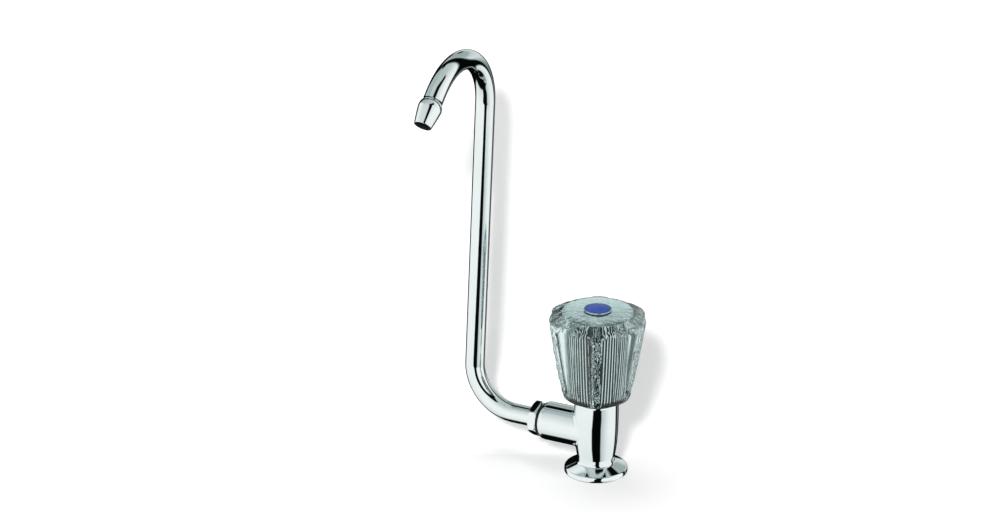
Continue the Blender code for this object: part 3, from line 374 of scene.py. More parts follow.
def nutGrid():
    # Rings of radius r(v) at station s(v), from the shank to the outer face. The hexagon's
    # radius h(v) is the inverse of a high power mean of the distances to its six sides.
    # The chamfer cone meets it where s = face + (h - flat) * tan(chamfer), so its curved
    # edge is exact.
    n = nut
    turn = np.linspace(0, 2 * math.pi, n["columns"], endpoint=False)
    # local x is up and local y is the back, so the front flat's normal is at tip - 90
    normals = math.radians(n["tip"] - 180) + np.arange(6)[:, None] * math.pi / 3 + math.pi / 2
    facing = np.maximum(np.cos(turn - normals), 0)
    hexRadius = n["flat"] * (facing ** n["cornerSharpness"]).sum(axis=0) ** (-1 / n["cornerSharpness"])
    drop = (hexRadius - n["flat"]) * math.tan(math.radians(n["chamfer"]))
    rows = []

    def ringRow(radius, station):
        rows.append(np.stack([radius * np.cos(turn), radius * np.sin(turn), station + 0 * turn], axis=-1))

    for radius, station in ((n["bore"], n["start"]), (n["shank"], n["start"]), (n["shank"], n["mouth"]),
                            (n["collar"], n["mouth"]), (n["collar"], n["hexStart"] - 0.15),
                            (n["collar"] + 0.15, n["hexStart"])):
        ringRow(radius, station)
    edge = n["edge"]
    ringRow(n["flat"] - edge, n["hexStart"])
    ringRow(n["flat"] + 0.2 * edge, n["hexStart"] + 0.05 * edge)
    chamferRadius = np.maximum(hexRadius - edge, n["flat"] + 0.3 * edge)
    chamferRun = np.maximum(drop - 0.5 * edge, 0.1 * edge)
    ringRow(chamferRadius, n["hexStart"] + chamferRun)
    ringRow(hexRadius - 0.15 * edge, n["hexStart"] + drop + 0.35 * edge)
    ringRow(hexRadius, n["hexStart"] + drop + edge)
    ringRow(hexRadius, (n["hexStart"] + n["end"]) / 2)
    ringRow(hexRadius, n["end"] - drop - edge)
    ringRow(hexRadius - 0.15 * edge, n["end"] - drop - 0.35 * edge)
    ringRow(chamferRadius, n["end"] - chamferRun)
    ringRow(n["flat"] + 0.2 * edge, n["end"] - 0.05 * edge)
    ringRow(n["flat"] - edge, n["end"])
    ringRow(n["bore"] + 0.3, n["end"])
    ringRow(n["bore"], n["end"] - 0.3)
    return alongBoss(np.array(rows), boss["axisHeight"])


glandNut = skin("glandNut", [nutGrid()], crease=25, ring=(0,))
dress(glandNut, chrome, "tap_body", "chrome", "gland_nut")
glandNut.data.materials.append(paintedRecessShade)
# The collar faces between nut and boss take the painted shade.
for face in glandNut.data.polygons:
    station = -face.center.x / mm
    out = math.hypot(face.center.y / mm, face.center.z / mm - boss["axisHeight"])
    if nut["start"] < station < nut["hexStart"] - 0.05 and out < nut["collar"] + 0.1:
        face.material_index = 1
print("gland nut made")


# spout tube and nozzle

spout = {
    "radius": 4.975, "bore": 4.0, "start": 15.4, "bendStart": 46.0, "bendRadius": 23.0,
    "lean": 2.5, "riserHeight": 164.72, "hookRadius": 30.0, "hookTurn": 135.0, "tail": 5.0,
    "groove": (20.7, 22.3), "grooveRadius": 4.4, "spacing": 1.0, "columns": 72,
}


def bendRun(start, heading, side, radius, turn, spacing):
    # Round bend: start + radius * (sin t * heading + (1 - cos t) * side).
    count = max(2, int(radius * turn / spacing))
    t = np.linspace(0, turn, count + 1)[:, None]
    points = start + radius * (np.sin(t) * heading + (1 - np.cos(t)) * side)
    return points, np.cos(t) * heading + np.sin(t) * side


def straightRun(start, end, spacing):
    # Straight run: start + (end - start) * share.
    count = max(1, int(np.linalg.norm(end - start) / spacing))
    share = np.linspace(0, 1, count + 1)[:, None]
    heading = (end - start) / np.linalg.norm(end - start)
    return start + (end - start) * share, np.repeat(heading[None], count + 1, axis=0)


def spoutCentreLine():
    # Straight run, lower bend, riser, hook and tail, with the tangent at each point
    # and a normal that stays in the plane of each bend.
    s = spout
    outward, up, front = np.array([-1.0, 0, 0]), np.array([0, 0, 1.0]), np.array([0, -1.0, 0])
    origin = np.array([0, 0, boss["axisHeight"]])
    grooveLow, grooveHigh = s["groove"]
    stops = [s["start"], grooveLow, grooveLow + 0.01, grooveHigh, grooveHigh + 0.01, s["bendStart"]]
    parts = []
    for low, high in zip(stops, stops[1:]):
        parts.append(straightRun(origin + outward * low, origin + outward * high, 3 * s["spacing"]))
    bendPoints, bendWays = bendRun(origin + outward * s["bendStart"], outward, up, s["bendRadius"],
                                   math.radians(90 + s["lean"]), s["spacing"])
    parts.append((bendPoints, bendWays))
    riser = bendWays[-1]
    foot = bendPoints[-1]
    top = foot + riser * (s["riserHeight"] + boss["axisHeight"] - foot[2]) / riser[2]
    parts.append(straightRun(foot, top, 4 * s["spacing"]))
    hookPoints, hookWays = bendRun(top, riser, front, s["hookRadius"],
                                   math.radians(s["hookTurn"]), s["spacing"])
    parts.append((hookPoints, hookWays))
    joint = hookPoints[-1] + hookWays[-1] * s["tail"]
    parts.append(straightRun(hookPoints[-1], joint, s["spacing"]))
    points = np.concatenate([p[0][1:] if i else p[0] for i, p in enumerate(parts)])
    ways = np.concatenate([p[1][1:] if i else p[1] for i, p in enumerate(parts)])
    hookSide = np.cross(riser, front)
    hookSide /= np.linalg.norm(hookSide)
    inHook = np.arange(len(points)) >= len(points) - len(hookPoints) - len(parts[-1][0]) + 1
    first = np.where(inHook[:, None], hookSide, np.cross(np.array([0, 1.0, 0]), ways))
    first -= (first * ways).sum(axis=1, keepdims=True) * ways
    first /= np.linalg.norm(first, axis=1, keepdims=True)
    return points, ways, first, joint


def tubeGrid(points, ways, first, radius):
    # Circle carried along the centre line: C(u) + r(u) (cos v n1 + sin v n2).
    second = np.cross(ways, first)
    turn = np.linspace(0, 2 * math.pi, spout["columns"], endpoint=False)[:, None]
    ringShape = np.cos(turn) * first[:, None, :] + np.sin(turn) * second[:, None, :]
    return points[:, None, :] + radius[:, None, None] * ringShape


def spoutGrid():
    # The tube's outside, narrower in the ring groove, then its bore carried back again.
    points, ways, first, joint = spoutCentreLine()
    station = -points[:, 0]
    low, high = spout["groove"]
    inGroove = (station > low + 0.005) & (station < high + 0.005) & (points[:, 2] < boss["axisHeight"] + 1)
    outer = tubeGrid(points, ways, first, np.where(inGroove, spout["grooveRadius"], spout["radius"]))
    inner = tubeGrid(points, ways, first, np.full(len(points), spout["bore"]))[::-1]
    return np.concatenate([outer, inner]), joint, ways[-1]


spoutShell, nozzleJoint, nozzleWay = spoutGrid()
swanNeck = skin("swanNeck", [spoutShell], ring=(0,))
dress(swanNeck, chrome, "spout", "chrome", "spout_tube")

nozzle = {
    "length": 13.85, "bulge": 5.95, "bulgeAt": 4.5, "gap": 0.3, "spigot": 3.7, "spigotBack": -4.1,
    "spigotBore": 2.9, "mouth": 4.46, "bore": 3.5, "boreDepth": 8.0, "edge": 0.3, "columns": 128,
}


def nozzleProfile():
    # The shoulder is a quarter ellipse from the spigot out to the bulge; below it the
    # wall tapers to the mouth, and its first stretch bends into the taper smoothly.
    n = nozzle
    quarter = np.radians(np.linspace(-90, 0, 14))
    shoulder = np.stack([n["spigot"] + (n["bulge"] - n["spigot"]) * np.cos(quarter),
                         n["bulgeAt"] + (n["bulgeAt"] - n["gap"]) * np.sin(quarter)], axis=1)
    share = np.linspace(0, 1, 14)[1:]
    run = n["length"] - n["edge"] - n["bulgeAt"]
    taper = np.stack([n["bulge"] - (n["bulge"] - n["mouth"]) * (share + 0.18 * (share ** 2 - share)),
                      n["bulgeAt"] + run * share], axis=1)
    lip = roundedProfile([tuple(taper[-1]) + (0,), (n["mouth"] - 0.03, n["length"], 0.26),
                          (n["bore"], n["length"], 0.12),
                          (n["bore"], n["length"] - n["boreDepth"], 0.3),
                          (n["spigotBore"], n["length"] - n["boreDepth"] - 0.6, 0.3),
                          (n["spigotBore"], n["spigotBack"], 0.1),
                          (n["spigot"], n["spigotBack"], 0.1),
                          tuple(shoulder[0]) + (0,)], 4)
    return np.concatenate([shoulder, taper, lip[1:-1]])


nozzleShell = alongDirection(turnedGrid(nozzleProfile(), nozzle["columns"]), nozzleJoint, nozzleWay)
outletNozzle = skin("outletNozzle", [nozzleShell], ring=(0,))
dress(outletNozzle, chrome, "spout", "chrome", "outlet_nozzle")
outletNozzle.data.materials.append(paintedRecessShade)
# The faces inside the nozzle's mouth and bore take the painted shade.
for face in outletNozzle.data.polygons:
    out = np.array(face.center) / mm - nozzleJoint
    along = out @ nozzleWay
    if along > 0 and np.linalg.norm(out - along * nozzleWay) < nozzle["mouth"] - 0.45:
        face.material_index = 1
print("spout made:", len(swanNeck.data.polygons), "faces")


# crystal knob

knob = {
    "foot": 41.257, "rim": 84.8, "crown": 88.55, "footRadius": 15.25, "shoulderStep": 2.9,
    "shoulderHeight": 3.6, "flare": 7.60, "flarePower": 0.80, "rimRound": 3.0, "rimInset": 0.83,
    "domePower": 3.6, "turn": -6.3, "ridges": 6, "ridgeHalf": 5.0, "narrow": 0.943, "scoop": 0.035,
    "fluteRun": 3.5, "archTop": 84.2, "archDrop": 2.6, "archSoft": 0.9, "hammer": 0.26,
    "hammerWide": 1.35, "hammerTall": 2.6, "hammerArc": 24.0, "hammerDome": 22.0,
    "fineScale": 2.1, "fineShare": 0.6,
    "bore": 10.89, "cavity": 85.3, "recess": 1.5, "holeRadius": 6.8,
    "screwHole": 2.4, "columns": 576, "seed": 11,
}


def easeIn(value, low, high):
    # 0 below low, 1 above high, with the smooth cubic 3 t^2 - 2 t^3 between them.
    t = np.clip((value - low) / (high - low), 0, 1)
    return t * t * (3 - 2 * t)


def latticeNoise(across, up, seed):
    # Random values on a square lattice, blended by smooth cubics: from -1 to 1.
    table = np.random.default_rng(seed).uniform(-1, 1, (128, 128))
    column, row = np.floor(across).astype(int), np.floor(up).astype(int)
    right, top = easeIn(across - column, 0, 1), easeIn(up - row, 0, 1)

    def rowValue(line):
        here, ahead = table[line % 128, column % 128], table[line % 128, (column + 1) % 128]
        return here * (1 - right) + ahead * right

    return rowValue(row) * (1 - top) + rowValue(row + 1) * top


def knobColumns():
    # Angles closer together on the broad ridges: equal steps of a running total of
    # 1 + 1.6 on a ridge + 1.0 beside a narrow one, over one pitch, then repeated.
    k = knob
    pitch = 360 / k["ridges"]
    fine = np.linspace(-pitch / 2, pitch / 2, 2001)
    off = np.abs(fine)
    crowd = 1 + 1.6 * (1 - easeIn(off, 6, 9)) + easeIn(off, pitch / 2 - 3, pitch / 2 - 1)
    total = np.concatenate([[0], np.cumsum((crowd[1:] + crowd[:-1]) / 2)])
    count = k["columns"] // k["ridges"]
    one = np.interp(np.arange(count) / count * total[-1], total, fine)
    return (one + pitch * np.arange(k["ridges"])[:, None]).ravel()


def knobRows():
    # Ridge radius r, height z and draw d towards the hole, row by row: a quarter ellipse at
    # the foot, the flank r = shoulder + flare * share ^ power, the rounded rim, and the dome
    # z = rim + rise * (1 - (1 - d) ^ domePower).
    k = knob
    rows = [(k["footRadius"] + k["shoulderStep"] * math.sin(t),
             k["foot"] + k["shoulderHeight"] * (1 - math.cos(t)), 0)
            for t in np.radians(np.linspace(0, 84, 10))]
    shoulder = k["footRadius"] + k["shoulderStep"]
    flank = k["rim"] - k["rimRound"] - k["foot"] - k["shoulderHeight"]
    for share in np.linspace(0.01, 1, 104):
        rows.append((shoulder + k["flare"] * share ** k["flarePower"],
                     k["foot"] + k["shoulderHeight"] + flank * share, 0))
    rim = shoulder + k["flare"]
    for t in np.radians(np.linspace(9, 80, 9)):
        rows.append((rim - k["rimRound"] * (1 - math.cos(t)),
                     k["rim"] - k["rimRound"] * (1 - math.sin(t)), 0))
    for share in np.linspace(0.03, 1, 26):
        rise = (k["crown"] - k["rim"]) * (1 - (1 - share) ** k["domePower"])
        rows.append((rim - k["rimInset"] * k["rimRound"], k["rim"] + rise, share))
    return np.array(rows).T[:, :, None]


def knobOutline(off, height):
    # Share of the ridge radius at an angle off the nearest broad ridge. It falls evenly to
    # the narrow ridge, less the flute's scoop 4 t (1 - t). Above an arch, height = top -
    # drop * (2 t - 1.1)^2, the flute runs out into a round band, and it fades in at the foot.
    k = knob
    along = np.clip((off - k["ridgeHalf"]) / (180 / k["ridges"] - k["ridgeHalf"]), 0, 1)
    flute = 1 - (1 - k["narrow"]) * along - k["scoop"] * 4 * along * (1 - along)
    band = k["narrow"] + (1 - k["narrow"]) * (1 - easeIn(along, 0, 0.4))
    arch = k["archTop"] - k["archDrop"] * (2 * along - 1.1) ** 2
    outline = band + (flute - band) * easeIn(arch - height, -k["archSoft"], k["archSoft"])
    return 1 + (outline - 1) * easeIn(height, k["foot"], k["foot"] + k["fluteRun"])


def hammeredRelief(angle, off, height, draw):
    # Two sizes of lattice noise over (arc length, height), full on the broad ridges, less
    # along the rim, and dying away over the dome.
    k = knob
    across = np.radians(angle) * k["hammerArc"] / k["hammerWide"]
    up = (height - draw * k["hammerDome"]) / k["hammerTall"]
    fine = latticeNoise(across * k["fineScale"], up * k["fineScale"], k["seed"] + 1)
    bumps = latticeNoise(across, up, k["seed"]) + k["fineShare"] * fine
    onRidge = 1 - easeIn(off + 0 * height, k["ridgeHalf"] - 0.5, k["ridgeHalf"] + 2.0)
    onRidge = onRidge * (1 - easeIn(draw, 0.12, 0.3))
    onEdge = easeIn(height, k["rim"] - 3.5, k["rim"] - 1.5) * (1 - 0.7 * easeIn(draw, 0.08, 0.22))
    onEdge = onEdge * (1 - easeIn(draw, 0.75, 0.97))
    return bumps * np.maximum(onRidge, 0.7 * onEdge) * k["hammer"]


def knobGrid():
    # Radius = ridge radius * outline + relief on the flank, and the same drawn in to the
    # hole over the dome, with the relief upwards there. The bore closes the shell.
    k = knob
    radius, height, draw = knobRows()
    angle = knobColumns()
    pitch = 360 / k["ridges"]
    off = np.abs((angle + pitch / 2) % pitch - pitch / 2)
    bumps = hammeredRelief(angle, off, height, draw)
    spread = radius * knobOutline(off, height) - k["hammer"] * 0.6 + bumps * (draw == 0)
    spread = spread + (k["holeRadius"] - spread) * draw
    lift = height + bumps * (draw > 0) + 0 * angle
    at = np.radians(angle + k["turn"])
    body = np.stack([spread * np.cos(at), spread * np.sin(at), lift], axis=-1)
    recess = k["crown"] - k["recess"]
    inside = np.array([(k["holeRadius"], recess), (k["screwHole"], recess), (k["screwHole"], k["cavity"]),
                       (k["bore"], k["cavity"]), (k["bore"], k["foot"])])
    inner = np.stack([inside[:, :1] * np.cos(at), inside[:, :1] * np.sin(at),
                      inside[:, 1:] + 0 * at], axis=-1)
    return np.concatenate([body, inner])


crystalKnob = skin("crystalKnob", [knobGrid()], crease=55, ring=(0,))
dress(crystalKnob, crystal, "handle", "crystal", "knob")

liner = {
    "low": 41.5, "high": 85.3, "tip": 11.55, "root": 11.0, "inner": 10.92, "ribs": 44, "fine": 12,
    "footRadius": 14.8, "footTop": 42.1, "plateLow": 85.2, "plateHigh": 85.5, "plateHole": 2.6,
    "plateRadius": 17.4, "tipShare": 0.42, "ribSteep": 1.9, "grooveShade": (0.88, 1.0),
    "tipDark": (0.0, 0.16), "seed": 5,
}


def linerGrid():
    # Silvered ribs with flat tips, r = root + depth * clip(tipShare + ribSteep * cos(ribs v)),
    # above a thin foot ring that is painted dark as shade.
    n = liner
    turn = np.linspace(0, 2 * math.pi, n["ribs"] * n["fine"], endpoint=False)
    lift = np.clip(n["tipShare"] + n["ribSteep"] * np.cos(n["ribs"] * turn), 0, 1)
    wave = n["root"] + (n["tip"] - n["root"]) * lift
    rows = []
    for radius, height in ((n["inner"], n["low"] - 0.2), (n["footRadius"], n["low"] - 0.2),
                           (n["footRadius"] + 0.25, n["footTop"] - 0.1),
                           (n["footRadius"] + 0.1, n["footTop"]),
                           (n["tip"] + 0.9, n["footTop"]), (n["tip"] + 0.1, n["footTop"]),
                           (wave, n["footTop"] + 0.02), (wave, (n["low"] + n["high"]) / 2),
                           (wave, n["high"]), (n["inner"], n["high"])):
        rows.append(np.stack([radius * np.cos(turn), radius * np.sin(turn), height + 0 * turn], axis=-1))
    return np.array(rows)


def paintGrooveShade(piece):
    # Painted shade rises with the depth below the tips, from a slight random grey drawn once for each
    # rib to a strength drawn once for each groove, and the foot ring is painted fully dark as shade.
    n = liner
    draw = np.random.default_rng(n["seed"])
    points = np.empty(len(piece.data.vertices) * 3)
    piece.data.vertices.foreach_get("co", points)
    across, back, up = points[0::3] / mm, points[1::3] / mm, points[2::3] / mm
    reach = np.hypot(across, back)
    depth = np.clip((n["tip"] - reach) / (n["tip"] - n["root"]), 0, 1)
    place = np.arctan2(back, across) / (2 * math.pi) * n["ribs"]
    groove = draw.uniform(*n["grooveShade"], n["ribs"])[np.floor(place).astype(int) % n["ribs"]]
    tip = draw.uniform(*n["tipDark"], n["ribs"])[np.round(place).astype(int) % n["ribs"]]
    dark = tip + (groove - tip) * easeIn(depth, 0.05, 0.5)
    # Painted shade: the foot ring, out past the tips or below the foot's top, is fully dark.
    dark[(reach > n["tip"] + 0.12) | (up < n["footTop"] - 0.05)] = 1.0
    mark = piece.data.attributes.new("grooveDepth", "FLOAT", "POINT")
    mark.data.foreach_set("value", dark)


silveredRibs = skin("silveredRibs", [linerGrid()], crease=50, ring=(0,))
paintGrooveShade(silveredRibs)
dress(silveredRibs, ribSilver, "handle", "silvering")

plateProfile = roundedProfile([(liner["plateHole"], liner["plateLow"], 0),
                               (liner["plateRadius"], liner["plateLow"], 0.1),
                               (liner["plateRadius"], liner["plateHigh"], 0.1),
                               (liner["plateHole"], liner["plateHigh"], 0.05),
                               (liner["plateHole"], liner["plateLow"], 0)], 4)
silveredPlate = skin("silveredPlate", [turnedGrid(plateProfile[:-1], 144)], ring=(0,))
dress(silveredPlate, plateSilver, "handle", "silvering")

cap = {"radius": 6.5, "edge": 88.55, "crown": 0.55, "skirt": 1.4, "wall": 0.8, "disc": 1.2, "columns": 128}


def capProfile():
    # Shallow dome z = edge + crown * (1 - (r / R)^2), a rounded rim and a skirt.
    c = cap
    radius = np.linspace(0, c["radius"] - 0.35, 14)
    dome = np.stack([radius, c["edge"] + c["crown"] * (1 - (radius / c["radius"]) ** 2)], axis=1)
    rest = roundedProfile([tuple(dome[-1]) + (0,), (c["radius"], c["edge"], 0.3),
                           (c["radius"], c["edge"] - c["skirt"], 0.2),
                           (c["radius"] - c["wall"], c["edge"] - c["skirt"], 0.2),
                           (c["radius"] - c["wall"], c["edge"] - c["disc"], 0.2),
                           (0, c["edge"] - c["disc"], 0)], 5)
    return np.concatenate([dome, rest[1:]])


indexCap = skin("indexCap", [turnedGrid(capProfile(), cap["columns"])])
dress(indexCap, blueCap, "handle", "blue", "index_cap")
print("knob made:", len(crystalKnob.data.polygons), "faces")


# pieces kept from the model

keptFinishes = {
    "knob_core": silvering, "base_seal": rubber, "headwork_housing": brass, "headwork_gasket": fibre,
    "spindle": brass, "thrust_washer": nylon, "spindle_o_ring_lower": rubber,
    "spindle_o_ring_upper": rubber, "spindle_clip": steel, "valve_piston": brass,
    "seat_washer": rubber, "washer_screw": brass, "handle_screw": steel,
    "spout_o_ring_inner": rubber, "spout_spacer_ring": nylon, "spout_o_ring_outer": rubber,
    "spout_retaining_ring": steel, "spout_thrust_washer": nylon,
}
for name, finish in keptFinishes.items():
    nodes[name].data.materials.clear()
    nodes[name].data.materials.append(finish)
print("kept pieces dressed:", len(keptFinishes))


# floor, backdrop, light and camera

view = {
    "target": (-0.0517, -0.0056, 0.1055), "azimuth": 27.5, "elevation": 22.0,
    "distance": 1.6, "lens": 115.4,
}
azimuth, elevation = math.radians(view["azimuth"]), math.radians(view["elevation"])
towards = np.array([math.sin(azimuth), -math.cos(azimuth), 0.0])  # level, from tap to camera
rightwards = np.array([math.cos(azimuth), math.sin(azimuth), 0.0])
aim = Vector(view["target"])

backdrop = {
    "behind": 0.068, "cove": 0.05, "width": 3.0, "height": 2.5, "reach": 3.0,
    "whiteness": 0.86, "wallGlow": 0.19, "floorGlow": 0.17,
}


def paperWhite(name, shine, oneSided):
    # White paper that keeps a soft shadow: a diffuse share and a share that glows to the
    # camera. The upright sheet is clear from behind, so it hides nothing in views from the
    # back.
    material, make, link = newMaterial(name)
    make.remove(make["Principled BSDF"])
    out = next(n for n in make if n.type == "OUTPUT_MATERIAL")
    diffuse = make.new("ShaderNodeBsdfDiffuse")
    diffuse.inputs["Color"].default_value = (*[backdrop["whiteness"]] * 3, 1)
    glow = make.new("ShaderNodeEmission")
    glow.inputs["Strength"].default_value = shine
    add = make.new("ShaderNodeAddShader")
    link.new(diffuse.outputs["BSDF"], add.inputs[0])
    link.new(glow.outputs["Emission"], add.inputs[1])
    if not oneSided:
        link.new(add.outputs["Shader"], out.inputs["Surface"])
        return material
    side = make.new("ShaderNodeNewGeometry")
    clear = make.new("ShaderNodeBsdfTransparent")
    choose = make.new("ShaderNodeMixShader")
    link.new(side.outputs["Backfacing"], choose.inputs["Fac"])
    link.new(add.outputs["Shader"], choose.inputs[1])
    link.new(clear.outputs["BSDF"], choose.inputs[2])
    link.new(choose.outputs["Shader"], out.inputs["Surface"])
    return material


def stageSheet(name, profile, width, material):
    # A profile of (distance towards the camera, height) drawn out sideways.
    profile = np.array(profile)
    rows = profile[:, :1] * towards + profile[:, 1:] * np.array([0, 0, 1.0])
    corners = np.concatenate([rows - rightwards * width, rows + rightwards * width])
    count = len(profile)
    low = np.arange(count - 1)
    faces = np.stack([low, low + count, low + 1 + count, low + 1], axis=1)
    mesh = bpy.data.meshes.new(name)
    mesh.from_pydata(corners, [], faces.tolist())
    mesh.shade_smooth()
    mesh.materials.append(material)
    sheet = bpy.data.objects.new(name, mesh)
    bpy.context.scene.collection.objects.link(sheet)
    sheet.visible_glossy = False
    sheet.visible_transmission = False
    return sheet


stageSheet("floor", [(backdrop["reach"], 0), (-backdrop["reach"], 0)], backdrop["width"],
           paperWhite("floorPaper", backdrop["floorGlow"], False))
curve = np.radians(np.linspace(0, 90, 13))
sweep = [(-backdrop["behind"] + backdrop["cove"] - backdrop["cove"] * math.sin(t),
          0.0002 + backdrop["cove"] * (1 - math.cos(t))) for t in curve]
wall = stageSheet("backdrop", sweep + [(-backdrop["behind"], backdrop["height"])], backdrop["width"],
                  paperWhite("backdropPaper", backdrop["wallGlow"], True))
wall.visible_diffuse = False
wall.visible_shadow = False

world = bpy.data.worlds.new("studioTent")
bpy.context.scene.world = world
world.use_nodes = True
worldNodes, worldLinks = world.node_tree.nodes, world.node_tree.links
tent = {
    "fill": 0.45, "dark": 0.002, "haze": 0.46, "besideSlot": 0.40, "besideShare": 0.75,
    "slotSoft": 2.5, "glassRing": 0.60, "glassScreen": 0.12, "glassFloor": 0.35,
    # brightness by height above the level, for the tent and for the opening behind
    "level": [(-60, 0.70), (-45, 0.82), (-22, 0.93), (8, 0.95), (22, 0.88), (34, 0.80),
              (48, 0.70), (62, 0.58), (90, 0.50)],
    "opening": [(-60, 0.02), (-16, 0.10), (-8, 0.50), (0, 0.75), (14, 0.62), (22, 0.40), (60, 0.36)],
    # foot of the haze on the left, by angle sideways
    "hazeFoot": [(-130, 16), (-100, 41)],
    # middle and half width of the dark slot in front, by height
    "slotMiddle": [(-43, 2), (-35, -2), (-27, -2), (-24, 4), (-21, 5), (0, 8), (30, 12),
                   (45, 14), (60, 20)],
    "slotReach": [(-60, 26), (-35, 25), (-27, 24), (-25, 23), (-23.5, 18), (-22, 14), (-20.5, 13),
                  (30, 11), (40, 15), (50, 20)],
}


def feed(socket, value):
    if isinstance(value, (int, float)):
        socket.default_value = value
    else:
        worldLinks.new(value, socket)


def calc(operation, *values):
    node = worldNodes.new("ShaderNodeMath")
    node.operation = operation
    for socket, value in zip(node.inputs, values):
        feed(socket, value)
    return node.outputs["Value"]


def ease(value, low, high):
    # 0 below low, 1 above high, smooth between them.
    node = worldNodes.new("ShaderNodeMapRange")
    node.interpolation_type = "SMOOTHSTEP"
    feed(node.inputs["Value"], value)
    feed(node.inputs["From Min"], low)
    feed(node.inputs["From Max"], high)
    return node.outputs["Result"]


def fall(value, low, high):
    # 1 below low, 0 above high.
    return calc("SUBTRACT", 1.0, ease(value, low, high))


def between(value, low, high, soft):
    # 1 from low to high, with edges as wide as twice soft.
    rise = ease(calc("SUBTRACT", value, low), -soft, soft)
    return calc("MULTIPLY", rise, fall(value, high - soft, high + soft))


def graph(value, points):
    # Straight lines between points (value, result), held level beyond the ends.
    places, results = [p[0] for p in points], [p[1] for p in points]
    lowest, span = min(results), max(results) - min(results)
    along = calc("DIVIDE", calc("SUBTRACT", value, places[0]), places[-1] - places[0])
    node = worldNodes.new("ShaderNodeValToRGB")
    stops = node.color_ramp.elements
    while len(stops) < len(points):
        stops.new(1.0)
    for stop, place, result in zip(stops, places, results):
        stop.position = (place - places[0]) / (places[-1] - places[0])
        stop.color = (*[(result - lowest) / span] * 3, 1)
    worldLinks.new(along, node.inputs["Fac"])
    return calc("MULTIPLY_ADD", node.outputs["Color"], span, lowest)


def over(under, mask, value):
    # The value laid over what is under it, where the mask is 1.
    node = worldNodes.new("ShaderNodeMix")
    feed(node.inputs["Factor"], mask)
    feed(node.inputs["A"], under)
    feed(node.inputs["B"], value)
    return node.outputs["Result"]


def angleFrom(direction, sideways, height):
    # Degrees between a direction and the one that lies sideways to the right of the
    # camera's and height above the level.
    sideways, height = math.radians(sideways), math.radians(height)
    node = worldNodes.new("ShaderNodeVectorMath")
    node.operation = "DOT_PRODUCT"
    worldLinks.new(direction, node.inputs[0])
    node.inputs[1].default_value = (math.sin(sideways) * math.cos(height),
                                    -math.cos(sideways) * math.cos(height), math.sin(height))
    return calc("DEGREES", calc("ARCCOSINE", node.outputs["Value"]))


def both(first, second):
    return calc("MULTIPLY", first, second)


def tentBands():
    # Brightness of a white tent by direction: paler level with the tap and greyer
    # overhead. The first result is for mirrors: a grey opening in a dark frame behind, dark
    # screens around it, a dark slot in front with a haze beside it and a bar across its
    # top, and a dark floor far below. The second is for glass: a grey ring around the back,
    # the slot made narrow, one screen on the left and a grey floor.
    place = worldNodes.new("ShaderNodeTexCoord")
    turned = worldNodes.new("ShaderNodeVectorRotate")
    turned.rotation_type = "Z_AXIS"
    turned.inputs["Angle"].default_value = -azimuth
    worldLinks.new(place.outputs["Generated"], turned.inputs["Vector"])
    direction = turned.outputs["Vector"]
    split = worldNodes.new("ShaderNodeSeparateXYZ")
    worldLinks.new(direction, split.inputs["Vector"])
    forward = calc("MULTIPLY", split.outputs["Y"], -1.0)
    sideways = calc("DEGREES", calc("ARCTAN2", split.outputs["X"], forward))
    height = calc("DEGREES", calc("ARCSINE", split.outputs["Z"]))
    dark = tent["dark"]

    level = graph(height, tent["level"])
    hazeFoot = graph(sideways, tent["hazeFoot"])
    leftHaze = both(between(sideways, -150, -80, 10), between(height, hazeFoot, 70, 6))
    level = over(level, leftHaze, tent["haze"])

    fromBehind = angleFrom(direction, 165, 8)
    mirror = over(level, fall(fromBehind, 38, 46), graph(height, tent["opening"]))
    for screen in (between(fromBehind, 43, 58, 3),
                   both(fall(sideways, -134, -120), between(height, -60, 4, 5)),
                   both(between(sideways, -173, -133, 5), between(height, -60, 24, 4)),
                   fall(angleFrom(direction, 172, 27), 4, 8),
                   fall(angleFrom(direction, -156, 58), 5, 9),
                   fall(angleFrom(direction, 180, -32), 28, 38)):
        mirror = over(mirror, screen, dark)

    offMiddle = calc("SUBTRACT", sideways, graph(height, tent["slotMiddle"]))
    off = calc("ABSOLUTE", offMiddle)
    reach = graph(height, tent["slotReach"])
    soft = tent["slotSoft"]
    slot = fall(off, calc("SUBTRACT", reach, soft), calc("ADD", reach, soft))
    slot = both(slot, fall(height, 62, 70))
    besideSlot = both(fall(offMiddle, 12, 75), fall(height, -24.5, -21.5))
    besideSlot = both(besideSlot, ease(offMiddle, -5, 5))
    mirror = over(mirror, both(besideSlot, tent["besideShare"]), tent["besideSlot"])
    crossBar = both(between(height, 47, 64, 3), between(sideways, -8, 72, 5))
    for mask in (slot, crossBar, fall(height, -61, -54)):
        mirror = over(mirror, mask, dark)

    leftScreen = both(between(sideways, -156, -143, 3), between(height, -45, 20, 8))
    glass = over(level, between(fromBehind, 62, 80, 5), tent["glassRing"])
    glass = over(glass, fall(off, 4, 10), dark)
    glass = over(glass, leftScreen, tent["glassScreen"])
    glass = over(glass, fall(height, -70, -56), tent["glassFloor"])
    return mirror, glass


def tinted(value):
    # Dark to white by way of a pale sea green.
    node = worldNodes.new("ShaderNodeValToRGB")
    stops = node.color_ramp.elements
    stops.new(0.45)
    for stop, place, colour in zip(stops, (0.0, 0.45, 1.0),
                                   ((0.0, 0.0, 0.0), (0.39, 0.47, 0.47), (0.97, 1.0, 1.0))):
        stop.position = place
        stop.color = (*colour, 1)
    worldLinks.new(value, node.inputs["Fac"])
    return node.outputs["Color"]


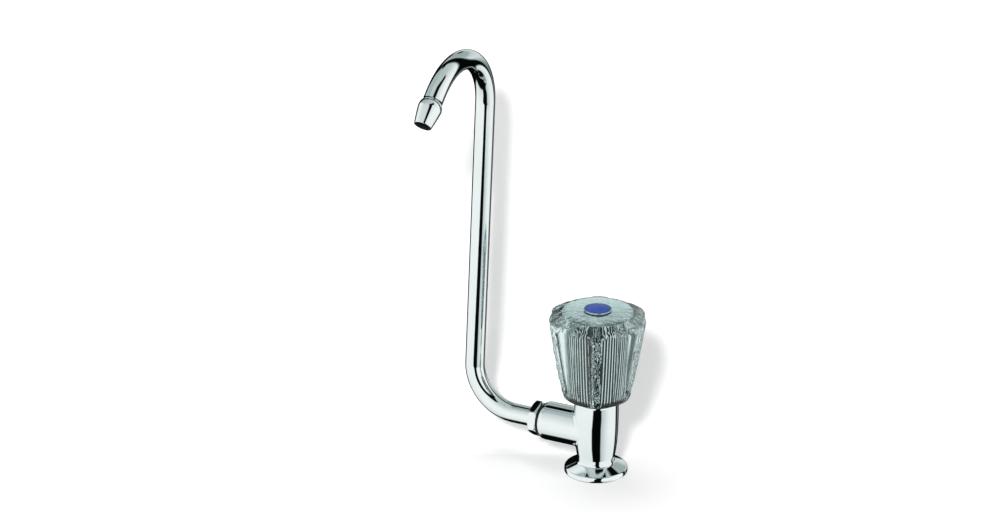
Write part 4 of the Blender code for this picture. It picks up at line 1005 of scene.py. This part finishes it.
def chooseColour(mask, first, second):
    node = worldNodes.new("ShaderNodeMix")
    node.data_type = "RGBA"
    worldLinks.new(mask, node.inputs["Factor"])
    for socket, value in ((node.inputs[6], first), (node.inputs[7], second)):
        if isinstance(value, tuple):
            socket.default_value = value
        else:
            worldLinks.new(value, socket)
    return node.outputs[2]


mirrorBands, glassBands = tentBands()
rayKind = worldNodes.new("ShaderNodeLightPath")
fill = (*[tent["fill"]] * 3, 1)
shown = chooseColour(rayKind.outputs["Is Glossy Ray"], fill, tinted(mirrorBands))
shown = chooseColour(rayKind.outputs["Is Transmission Ray"], shown, tinted(glassBands))
shown = chooseColour(rayKind.outputs["Is Camera Ray"], shown, (1, 1, 1, 1))
worldLinks.new(shown, worldNodes["Background"].inputs["Color"])
worldNodes["Background"].inputs["Strength"].default_value = 1.0


lamps = {
    "keyLight": {"left": 13.0, "height": 34.0, "softness": 9.0, "strength": 2.1},
    "topLight": {"left": 150.0, "height": 75.0, "softness": 30.0, "strength": 0.70},
}
for name, lamp in lamps.items():
    turn, rise = math.radians(view["azimuth"] - lamp["left"]), math.radians(lamp["height"])
    lampWay = Vector((math.sin(turn) * math.cos(rise), -math.cos(turn) * math.cos(rise), math.sin(rise)))
    lampData = bpy.data.lights.new(name, "SUN")
    lampData.energy = lamp["strength"]
    lampData.angle = math.radians(lamp["softness"])
    lampObject = bpy.data.objects.new(name, lampData)
    lampObject.location = aim + lampWay
    lampObject.rotation_euler = lampWay.to_track_quat("Z", "Y").to_euler()
    lampObject.visible_glossy = False
    lampObject.visible_transmission = False
    bpy.context.scene.collection.objects.link(lampObject)

back = Vector((math.sin(azimuth) * math.cos(elevation), -math.cos(azimuth) * math.cos(elevation),
               math.sin(elevation)))
cameraData = bpy.data.cameras.new("camera")
cameraData.lens = view["lens"]
cameraData.sensor_width = 36
camera = bpy.data.objects.new("camera", cameraData)
camera.location = aim + back * view["distance"]
camera.rotation_euler = back.to_track_quat("Z", "Y").to_euler()
bpy.context.scene.collection.objects.link(camera)
bpy.context.scene.camera = camera
bpy.context.scene.view_settings.view_transform = "Standard"
print("stage set")
